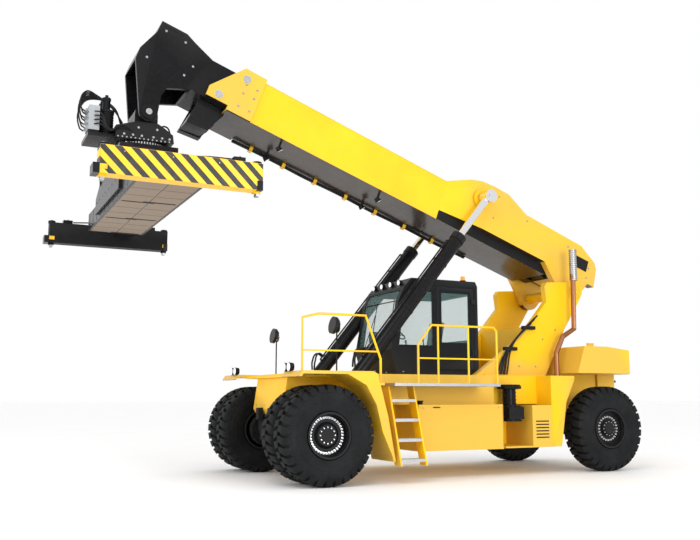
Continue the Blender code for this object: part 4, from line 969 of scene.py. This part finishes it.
def gooseneck_details():
    """Pins, weld beads and hoses of the inner boom's head."""
    bm, light = meshes(2)
    pin = BOOM.inverted() @ HANGER_PIN
    half = 0.48
    for side in (1, -1):
        add_rod(bm, (side * half, pin.y, pin.z), (side * (half + 0.022), pin.y, pin.z), 0.13, 32,
                None, BOOM)
        add_rod(light, (side * (half + 0.02), pin.y, pin.z), (side * (half + 0.034), pin.y, pin.z),
                0.055, 24, None, BOOM)
        for dy, dz in ((0.10, 1.50), (-0.28, 1.52), (0.38, 1.15), (0.30, 0.92), (-0.40, 0.90)):
            add_rod(light, (side * half, pin.y + dy, pin.z + dz),
                    (side * (half + 0.008), pin.y + dy, pin.z + dz), 0.022, 16, None, BOOM)
        add_box(bm, (side * half - 0.006, pin.y - 0.36, pin.z + 1.585),
                (side * half + 0.006, pin.y + 0.02, pin.z + 1.61), BOOM)
    piece("gooseneck_bosses", bm, "inner_boom", BLACK_PAINT, 0.004)
    piece("gooseneck_pins", light, "inner_boom", STEEL, 0.002)
    for n in range(4):
        x = -0.18 + 0.12 * n
        points = [in_boom((x, pin.y + 0.62, pin.z + 0.86 - 0.02 * n)),
                  in_boom((x, pin.y + 0.30, pin.z + 0.98)),
                  in_boom((x * 1.1, pin.y - 0.05, pin.z + 0.90)),
                  in_boom((x * 1.1, pin.y - 0.14, pin.z + 0.52)),
                  in_boom((x, pin.y - 0.02, pin.z + 0.33))]
        hose(f"gooseneck_hose_{n}", points, 0.018, "inner_boom")


# Spreader -------------------------------------------------------------------------------

def at_pin(x, y, z):
    return HANGER_PIN + Vector((x, y, z))


def hanger_details():
    bolts, motor, pipes = meshes(3)
    for side in (1, -1):
        for y, z in ((-0.40, -0.44), (-0.25, -0.44), (-0.10, -0.44), (0.10, -0.44), (0.25, -0.44),
                     (0.38, -0.44), (0.16, -0.30), (-0.16, -0.30)):
            add_bolt(bolts, at_pin(side * 0.46, y, z), (side, 0, 0), 0.015, 0.014)
        for n in range(13):
            add_bolt(bolts, at_pin(side * 0.462, -0.50 + 0.073 * n, -0.492), (side, 0, 0), 0.010,
                     0.010)
    piece("hanger_bolts", bolts, "hanger", STEEL)
    for n in range(8):
        z = -0.38 + 0.045 * n
        add_rod(motor, at_pin(0.14, -0.66, z), at_pin(0.14, -0.66, z + 0.018), 0.129, 32)
    add_rod(motor, at_pin(0.14, -0.66, -0.03), at_pin(0.14, -0.66, 0.015), 0.135, 32)
    add_rod(motor, at_pin(0.14, -0.66, 0.20), at_pin(0.14, -0.66, 0.25), 0.075, 6)
    add_rod(motor, at_pin(0.14, -0.66, 0.24), at_pin(0.14, -0.66, 0.30), 0.028, 16)
    for x in (-0.26, -0.12):
        add_rod(motor, at_pin(x, -0.67, 0.09), at_pin(x, -0.67, 0.24), 0.045, 20)
        add_rod(motor, at_pin(x, -0.67, 0.23), at_pin(x, -0.67, 0.27), 0.055, 6)
    piece("slew_motor", motor, "hanger", SATIN_BLACK, 0.002)
    for n in range(4):
        z = -0.40 + 0.105 * n
        add_box(pipes, at_pin(0.03, -0.985, z), at_pin(0.32, -0.968, z + 0.085))
        for x in (0.08, 0.175, 0.27):
            add_rod(pipes, at_pin(x, -0.98, z + 0.042), at_pin(x, -1.01, z + 0.042), 0.018, 12)
            add_rod(pipes, at_pin(x, -1.005, z + 0.042), at_pin(x, -1.02, z + 0.042), 0.023, 6)
    add_box(pipes, at_pin(0.325, -0.975, -0.40), at_pin(0.345, -0.795, 0.03))
    add_box(pipes, at_pin(0.03, -0.965, 0.015), at_pin(0.32, -0.805, 0.035))
    piece("valve_sections", pipes, "hanger", LIGHT_GREY, 0.004)
    for n in range(7):
        x = 0.04 + 0.045 * n
        z = -0.36 + 0.105 * (n % 4)
        hose(f"valve_hose_{n}",
             [at_pin(x, -1.015, z), at_pin(x - 0.03, -1.075, z + 0.06),
              at_pin(x - 0.06, -1.03, 0.16 + 0.02 * n), at_pin(x * 0.8 - 0.06, -0.84, 0.26),
              at_pin(x * 0.5 - 0.02, -0.52, 0.16 - 0.02 * n),
              at_pin(x * 0.5, -0.38, -0.16)], 0.013, "hanger")
    for n in range(6):
        x = -0.30 + 0.11 * n
        hose(f"ring_hose_{n}",
             [at_pin(x, 0.22, -0.22), at_pin(x * 1.1, 0.34, -0.20 + 0.008 * n),
              at_pin(x * 1.15, 0.42, -0.27), at_pin(x * 1.1, 0.40, -0.36)], 0.015, "hanger")
    for n in range(4):
        x = 0.40 + 0.016 * n
        hose(f"platform_hose_{n}",
             [at_pin(x - 0.06, -0.88, -0.30 + 0.07 * n), at_pin(x, -0.80, -0.30 + 0.06 * n),
              at_pin(x + 0.02, -0.62, -0.40), at_pin(x + 0.06, -0.44, -0.36 + 0.02 * n),
              at_pin(x + 0.01, -0.26, -0.38)], 0.013, "hanger")


def slew_details():
    bm, bolts = meshes(2)
    for i in range(60):
        a = 2 * math.pi * i / 60
        add_box(bm, (0.447, -0.011, -0.685), (0.462, 0.011, -0.535),
                Matrix.Translation(HANGER_PIN) @ Matrix.Rotation(a, 4, "Z"))
    piece("slew_gear_teeth", bm, "slew_frame", STEEL, 0.001)
    for side in (1, -1):
        face = side * 0.575
        for x in (-1.02, -0.72, -0.42, -0.12, 0.18, 0.48, 0.78, 1.02):
            add_bolt(bolts, at_pin(x, face, -1.36), (0, side, 0), 0.013, 0.012)
        for x in (-0.35, 0.0, 0.35):
            add_bolt(bolts, at_pin(x, side * 0.50, -0.90), (0, side, 0), 0.016, 0.014)
    piece("carriage_bolts", bolts, "slew_frame", STEEL)
    ribs = bmesh.new()
    for side in (1, -1):
        for x in (-0.88, 0.88):
            add_box(ribs, at_pin(x - 0.02, side * 0.46 - 0.012, -1.28),
                    at_pin(x + 0.02, side * 0.46 + 0.012, -1.25))
        for hand in (-1, 1):
            add_rod(ribs, at_pin(hand * 0.95, side * 0.47, -1.23),
                    at_pin(hand * 0.28, side * 0.47, -1.12), 0.035, 20)
    piece("side_shift_cylinders", ribs, "slew_frame", SATIN_BLACK, 0.002)
    for n, side in enumerate((1, -1, 1, -1)):
        reach = 0.30 + 0.12 * (n // 2)
        hose(f"carriage_hose_{n}",
             [at_pin(side * reach, -0.51, -0.80), at_pin(side * (reach + 0.10), -0.57, -0.90),
              at_pin(side * (reach + 0.28), -0.57, -1.10),
              at_pin(side * (reach + 0.42), -0.50, -1.24)], 0.015, "slew_frame")


def spreader_details():
    panels, slots, bars, marks = meshes(4)
    floor = -1.66
    for side in (1, -1):
        add_box(bars, at_pin(-2.19, side * 0.495, floor - 0.008),
                at_pin(2.19, side * 0.528, floor + 0.002))
        for n in range(3):
            x0 = -2.17 + n * 1.45
            add_box(panels, at_pin(x0 + 0.006, side * 0.006, floor - 0.005),
                    at_pin(x0 + 1.440, side * 0.490, floor + 0.002))
            for row in (0.48, 0.96):
                add_box(slots, at_pin(x0 + row, side * 0.02, floor - 0.0065),
                        at_pin(x0 + row + 0.006, side * 0.48, floor - 0.004))
    for n in range(3):
        for end, y0, y1 in ((0.03, -0.10, 0.44), (1.42, -0.44, 0.10)):
            x = -2.17 + n * 1.45 + end
            add_box(slots, at_pin(x, y0, floor - 0.009), at_pin(x + 0.045, y1, floor - 0.003))
    piece("belly_rails", bars, "spreader", BLACK_PAINT, 0.002)
    piece("belly_panels", panels, "spreader", WEAR_STEEL, 0.002)
    piece("belly_slots", slots, "spreader", SATIN_BLACK)
    for side in (1, -1):
        face = side * 0.53
        for n in range(11):
            x = -2.05 + 0.41 * n
            add_box(marks, at_pin(x - 0.012, face - side * 0.002, -1.64),
                    at_pin(x + 0.012, face + side * 0.003, -1.36))
    piece("frame_ribs", marks, "spreader", BLACK_PAINT, 0.001)
    top = bmesh.new()
    for side in (1, -1):
        add_box(top, at_pin(side * 1.95, -0.18, -1.343), at_pin(side * 2.15, 0.18, -1.23))
        add_rod(top, at_pin(side * 2.05, -0.12, -1.24), at_pin(side * 2.05, -0.12, -1.18), 0.05)
    piece("junction_boxes", top, "spreader", SATIN_BLACK, 0.006)
    for side in (1, -1):
        for n in range(2):
            y = -0.10 + 0.14 * n
            hose(f"frame_hose_{'l' if side > 0 else 'r'}{n}",
                 [at_pin(side * 2.12, y, -1.27), at_pin(side * 2.30, y, -1.22),
                  at_pin(side * 2.34, y * 0.9, -1.40), at_pin(side * 2.16, y * 0.8, -1.34)],
                 0.014, "spreader")


def end_beam_details():
    for hand, side in (("left", 1), ("right", -1)):
        body = f"{hand}_beam"
        x = side * 2.9265
        trims, caps, bolts = meshes(3)
        for end in (-1, 1):
            y = end * 1.1295
            add_box(caps, at_pin(x - 0.128, y - 0.052, -1.78),
                    at_pin(x + 0.128, y + 0.052, -1.71))
            add_box(trims, at_pin(x - 0.132, y + end * 0.052 - 0.09, -1.845),
                    at_pin(x + 0.132, y + end * 0.052 + 0.002, -1.70))
            add_box(trims, at_pin(x - 0.09, y - end * 0.30 - 0.09, -1.44),
                    at_pin(x + 0.09, y - end * 0.30 + 0.09, -1.36))
            add_rod(trims, at_pin(x, y, -1.44), at_pin(x, y, -1.385), 0.07, 24)
            add_rod(bolts, at_pin(x, y, -1.39), at_pin(x, y, -1.37), 0.03, 6)
            for dx in (-0.09, 0.09):
                add_bolt(bolts, at_pin(x + dx, y - end * 0.30, -1.36), (0, 0, 1), 0.011, 0.012)
        for n in range(6):
            y = -0.85 + 0.34 * n
            add_bolt(bolts, at_pin(x + side * 0.12, y, -1.50), (side, 0, 0), 0.011, 0.008)
        piece(f"{hand}_beam_boxes", trims, body, BLACK_PAINT, 0.004)
        piece(f"{hand}_beam_bands", caps, body, YELLOW_PAINT, 0.002)
        piece(f"{hand}_beam_bolts", bolts, body, STEEL)
        if side > 0:
            hazard_faces(body, x)
        for n in range(2):
            hose(f"{hand}_beam_hose_{n}",
                 [at_pin(x - side * 0.11, 0.10 - 0.2 * n, -1.50),
                  at_pin(x - side * 0.22, 0.05 - 0.2 * n, -1.40),
                  at_pin(x - side * 0.10, 0.30 - 0.6 * n, -1.375),
                  at_pin(x, 0.72 - 1.44 * n, -1.385)], 0.013, body)


def hazard_faces(body, x):
    """Plates with diagonal bands over the beam's two long faces."""
    for name, face, out in (("outer", x + 0.12, 1), ("inner", x - 0.12, -1)):
        bm = bmesh.new()
        add_box(bm, at_pin(face - 0.001, -1.178, -1.838), at_pin(face + out * 0.004, 1.178, -1.434))
        piece(f"hazard_plate_{name}", bm, body, HAZARD, 0.0015)
    bm = bmesh.new()
    for end in (-1, 1):
        add_box(bm, at_pin(x - 0.12, end * 1.1795 - 0.001, -1.838),
                at_pin(x + 0.12, end * 1.1835, -1.434))
    piece("hazard_ends", bm, body, HAZARD, 0.0015)


WEAR_STEEL = metal("belly_steel", (0.36, 0.27, 0.19), 0.45, (1.0, 6.0, 1.0), 12.0, 0.2)
HAZARD = striped("hazard_bands", (0.0, 1.0, 1.0), 0.082, HANGER_PIN, YELLOW,
                 (0.012, 0.012, 0.013))


# Deck and tower -------------------------------------------------------------------------

TOWER_OUTER = 0.90           # outer face of the tower's plates


def tower_details():
    bolts, plates = meshes(2)
    for side in (1, -1):
        x = side * TOWER_OUTER
        add_rod(plates, (x + side * 0.038, BOOM_PIVOT.y, BOOM_PIVOT.z),
                (x + side * 0.052, BOOM_PIVOT.y, BOOM_PIVOT.z), 0.085, 32)
        for spot in circle((x + side * 0.050, BOOM_PIVOT.y, BOOM_PIVOT.z), 0.06, 6):
            add_bolt(bolts, spot, (side, 0, 0), 0.009, 0.010)
        add_ring(plates, (x, BOOM_PIVOT.y, BOOM_PIVOT.z), (1, 0, 0), 0.155, 0.010, 40, 8)
        for y, z in ((REAR_Y - 1.95, 0.20), (REAR_Y - 1.55, 0.20), (REAR_Y - 1.15, 0.20),
                     (REAR_Y - 0.95, 0.75), (REAR_Y - 0.62, 0.95)):
            add_bolt(bolts, (x, y, DECK_Z + z), (side, 0, 0), 0.014, 0.012)
        add_box(plates, (x - side * 0.002, REAR_Y - 2.40, DECK_Z + 0.001),
                (x + side * 0.03, REAR_Y - 0.95, DECK_Z + 0.035))
    piece("tower_bosses", plates, "chassis", YELLOW_PAINT, 0.004)
    piece("tower_bolts", bolts, "chassis", STEEL)
    for n in range(6):
        x = 0.935 + 0.025 * (n % 2)
        lift = 0.04 * n
        hose(f"tower_hose_{n}",
             [(x, REAR_Y - 2.10 + lift, DECK_Z + 0.03), (x + 0.02, REAR_Y - 1.98 + lift,
                                                        DECK_Z + 0.36 + lift),
              (x, REAR_Y - 1.66 + lift, DECK_Z + 0.72 + lift),
              (x - 0.01, REAR_Y - 1.30 + lift, DECK_Z + 1.02 + lift)], 0.016, "chassis")
    clamps = bmesh.new()
    for y, z in ((REAR_Y - 1.90, 0.55), (REAR_Y - 1.44, 0.98)):
        add_box(clamps, (0.899, y - 0.04, DECK_Z + z - 0.05), (0.985, y + 0.26, DECK_Z + z + 0.02))
    piece("hose_clamps", clamps, "chassis", SATIN_BLACK, 0.006)
    exhaust_shield()


def exhaust_shield():
    """Perforated guard around the upper exhaust, with bands."""
    low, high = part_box("exhaust")
    x, y = (low[0] + high[0]) / 2, REAR_Y - 0.26
    z0, z1 = high[2] - 0.64, high[2] - 0.02
    dark, bright = meshes(2)
    rows, around = 14, 14
    # Painted shade: dark dots stand for the guard's holes and the shaded gap behind them.
    for i in range(rows):
        for j in range(around):
            a = 2 * math.pi * (j + 0.5 * (i % 2)) / around
            z = z0 + (z1 - z0) * (i + 0.5) / rows
            out = Vector((math.cos(a), math.sin(a), 0.0))
            spot = Vector((x, y, z)) + out * 0.0745
            add_rod(dark, spot, spot + out * 0.0022, 0.0085, 8)
    for z in (z0, (z0 + z1) / 2, z1):
        add_lathe_z(bright, (x, y, z), [(0.070, -0.012), (0.080, -0.012), (0.080, 0.012),
                                        (0.070, 0.012)], 40)
    half = (z1 - z0) / 2
    add_lathe_z(bright, (x, y, (z0 + z1) / 2), [(0.070, -half), (0.0755, -half),
                                                (0.0755, half), (0.070, half)], 40)
    piece("exhaust_guard", bright, "chassis", GUARD_STEEL)
    # The dark dots are painted shade for the holes.
    piece("guard_hole_shade", dark, "chassis", SATIN_BLACK)


def add_lathe_z(bm, centre, profile, steps):
    """Closed section (radius, z) turned about a vertical axis."""
    rings = []
    for i in range(steps):
        a = 2 * math.pi * i / steps
        rings.append([bm.verts.new((centre[0] + r * math.cos(a), centre[1] + r * math.sin(a),
                                    centre[2] + z)) for r, z in profile])
    bridge(bm, rings, True)


def deck_details():
    """Fender and counterweight bolts, air cleaner and locker louvres."""
    bm, bolts, grille = meshes(3)
    low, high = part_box("left_fender")
    for side in (1, -1):
        for y in (low[1] + 0.22, low[1] + 0.80, low[1] + 1.40, low[1] + 1.95):
            for x in (high[0] - 0.09, low[0] + 0.09):
                add_bolt(bolts, (side * x, y, high[2]), (0, 0, 1), 0.011, 0.010)
    clow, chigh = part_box("counterweight")
    for side in (1, -1):
        for z in (clow[2] + 0.28, clow[2] + 0.52):
            add_bolt(bolts, (side * 0.60, chigh[1], z), (0, 1, 0), 0.020, 0.018)
    piece("deck_bolts", bolts, "chassis", STEEL)
    alow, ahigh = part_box("air_cleaner")
    cx, cy = (alow[0] + ahigh[0]) / 2, (alow[1] + ahigh[1]) / 2
    top = ahigh[2]
    add_lathe_z(bm, (cx, cy, top), [(0.02, -0.40), (0.125, -0.40), (0.125, -0.10), (0.228, -0.085),
                                    (0.234, -0.045), (0.21, -0.004), (0.02, 0.0)], 56)
    for z in (-0.36, -0.29, -0.22, -0.15):
        add_lathe_z(bm, (cx, cy, top + z), [(0.120, -0.008), (0.134, -0.008), (0.134, 0.008),
                                            (0.120, 0.008)], 48)
    add_rod(bm, (cx, cy, alow[2] + 0.02), (cx, cy, top - 0.39), 0.205, 48)
    add_rod(bm, (cx, cy, alow[2]), (cx, cy, alow[2] + 0.03), 0.225, 48)
    add_box(bm, (cx - 0.06, cy - 0.17, alow[2] + 0.04), (cx + 0.228, cy + 0.17, top - 0.42))
    for z in (alow[2] + 0.12, alow[2] + 0.28):
        for dy in (-0.10, 0.0, 0.10):
            add_rod(bm, (cx + 0.22, cy + dy, z), (cx + 0.234, cy + dy, z), 0.010, 10)
    cleaner = piece("air_cleaner_body", bm, "chassis", BLACK_PAINT, 0.006)
    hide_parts("air_cleaner")
    blow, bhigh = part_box("battery_box")
    for n in range(6):
        z = blow[2] + 0.14 + 0.06 * n
        add_box(grille, (bhigh[0] - 0.002, blow[1] + 0.08, z),
                (bhigh[0] + 0.006, bhigh[1] - 0.08, z + 0.022))
    piece("locker_louvres", grille, "chassis", SATIN_BLACK, 0.002)
    tow_lugs()


def tow_lugs():
    """Lugs low on the front of the frame."""
    bm = bmesh.new()
    for side in (1, -1):
        add_box(bm, (side * 0.30 - 0.07, FRONT_Y - 0.40, 1.02),
                (side * 0.30 + 0.07, FRONT_Y - 0.30, 1.24))
    piece("tow_lugs", bm, "chassis", AXLE_PAINT, 0.01)


def mirrors():
    """Glass in each mirror's housing."""
    for hand in ("left", "right"):
        low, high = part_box(f"{hand}_mirror")
        centre = Vector(((low[0] + high[0]) / 2, high[1] - 0.002, high[2] - 0.16))
        bm = bmesh.new()
        add_rod(bm, centre, centre + Vector((0, 0.012, 0)), 0.12, 32)
        piece(f"{hand}_mirror_glass", bm, "chassis", MIRROR_GLASS, 0.003)


GUARD_STEEL = metal("guard_steel", (0.50, 0.50, 0.50), 0.42, (1.0, 1.0, 4.0), 20.0, 0.2)
COPPER_PIPE = metal("heat_tinted_pipe", (0.34, 0.15, 0.075), 0.38, (1.0, 1.0, 3.0), 6.0, 0.2)


# Assembly -------------------------------------------------------------------------------

def dress_frame():
    """Finished materials on every CAD node that stays visible."""
    dress(("chassis_frame", "left_fender", "right_fender", "left_tank", "right_tank",
           "counterweight", "access_ladder", "front_rail", "rear_rail", "battery_box",
           "tower"), YELLOW_PAINT)
    dress(("outer_boom",), BOOM_PAINT)
    dress(("walkway",), ZINC)
    dress(("inner_boom", "rotator_hanger", "slew_frame", "spreader_frame",
           "left_lift_barrel", "right_lift_barrel", "air_cleaner", "left_mirror",
           "right_mirror"), BLACK_PAINT)
    dress(("left_end_beam",), YELLOW_PAINT)
    dress(("right_end_beam", "engine_block"), SATIN_BLACK)
    dress(("drive_axle", "steer_axle", "left_knuckle", "right_knuckle", "front_left_rim",
           "front_right_rim", "rear_left_rim", "rear_right_rim"), AXLE_PAINT)
    dress(("cab_shell", "cab_door"), CAB_GREY)
    dress(("left_lift_rod", "right_lift_rod"), CHROME)
    dress(("exhaust",), COPPER_PIPE)
    dress([f"{hand}_{place}_twistlock" for hand in ("left", "right")
           for place in ("front", "rear")], STEEL)
    dress([name for name in NODES if name.endswith("_tyre")], TYRE)
    dress(("operator_seat",), SEAT_VINYL)
    dress(("steering_console",), SATIN_BLACK)


CAMERA_PLACE = (14.606, -7.455, 1.4455)
CAMERA_YAW, CAMERA_PITCH = math.radians(25.83), math.radians(8.52)
CAMERA_LENS = 43.37          # on a sensor 36 mm wide
LIGHTS = (("key", (10.0, -8.0, 13.0), (0.0, 0.0, 2.0), 500.0),
          ("front", (4.0, -16.0, 6.0), (0.0, -2.0, 3.0), 500.0),
          ("side", (17.0, 1.0, 4.0), (0.0, 1.0, 2.0), 1000.0))
LIGHT_SIZE = 6.0


def camera():
    level = math.cos(CAMERA_PITCH)
    look = Vector((-math.cos(CAMERA_YAW) * level, math.sin(CAMERA_YAW) * level,
                   math.sin(CAMERA_PITCH)))
    data = bpy.data.cameras.new("camera")
    data.lens, data.sensor_width = CAMERA_LENS, 36.0
    data.clip_end = 500.0
    obj = bpy.data.objects.new("camera", data)
    bpy.context.scene.collection.objects.link(obj)
    obj.location = CAMERA_PLACE
    obj.rotation_euler = look.to_track_quat("-Z", "Y").to_euler()
    bpy.context.scene.camera = obj


def area_light(name, place, aim, power):
    data = bpy.data.lights.new(name, "AREA")
    data.shape, data.size, data.energy = "DISK", LIGHT_SIZE, power
    obj = bpy.data.objects.new(name, data)
    bpy.context.scene.collection.objects.link(obj)
    obj.location = place
    obj.rotation_euler = (Vector(aim) - Vector(place)).to_track_quat("-Z", "Y").to_euler()


def studio():
    """Pale floor, white surroundings and soft overhead light."""
    bpy.ops.mesh.primitive_plane_add(size=400.0, location=(0.0, 0.0, 0.0))
    floor = bpy.context.object
    floor.name = "floor"
    material, nodes, links = new_material("studio_floor")
    shader = nodes["Principled BSDF"]
    links.new(ramp(nodes, links, noise(nodes, links, 0.4, 3.0), [(0.3, (0.955, 0.955, 0.955)),
                                                                (0.7, (0.975, 0.975, 0.975))]),
              shader.inputs["Base Color"])
    shader.inputs["Roughness"].default_value = 0.65
    floor.data.materials.append(material)
    world = bpy.data.worlds.new("studio")
    world.use_nodes = True
    world.node_tree.nodes["Background"].inputs["Color"].default_value = (1.0, 1.0, 1.0, 1.0)
    world.node_tree.nodes["Background"].inputs["Strength"].default_value = 1.0
    bpy.context.scene.world = world
    bpy.context.scene.view_settings.view_transform = "Standard"
    for light in LIGHTS:
        area_light(*light)


def main():
    camera()
    dress_frame()
    tyres()
    rim_fittings()
    chassis_details()
    ladder_treads()
    cylinder_feet()
    cab_glass()
    cab_fittings()
    operator_station()
    boom_details()
    gooseneck_details()
    hanger_details()
    slew_details()
    spreader_details()
    end_beam_details()
    tower_details()
    deck_details()
    mirrors()
    studio()


main()
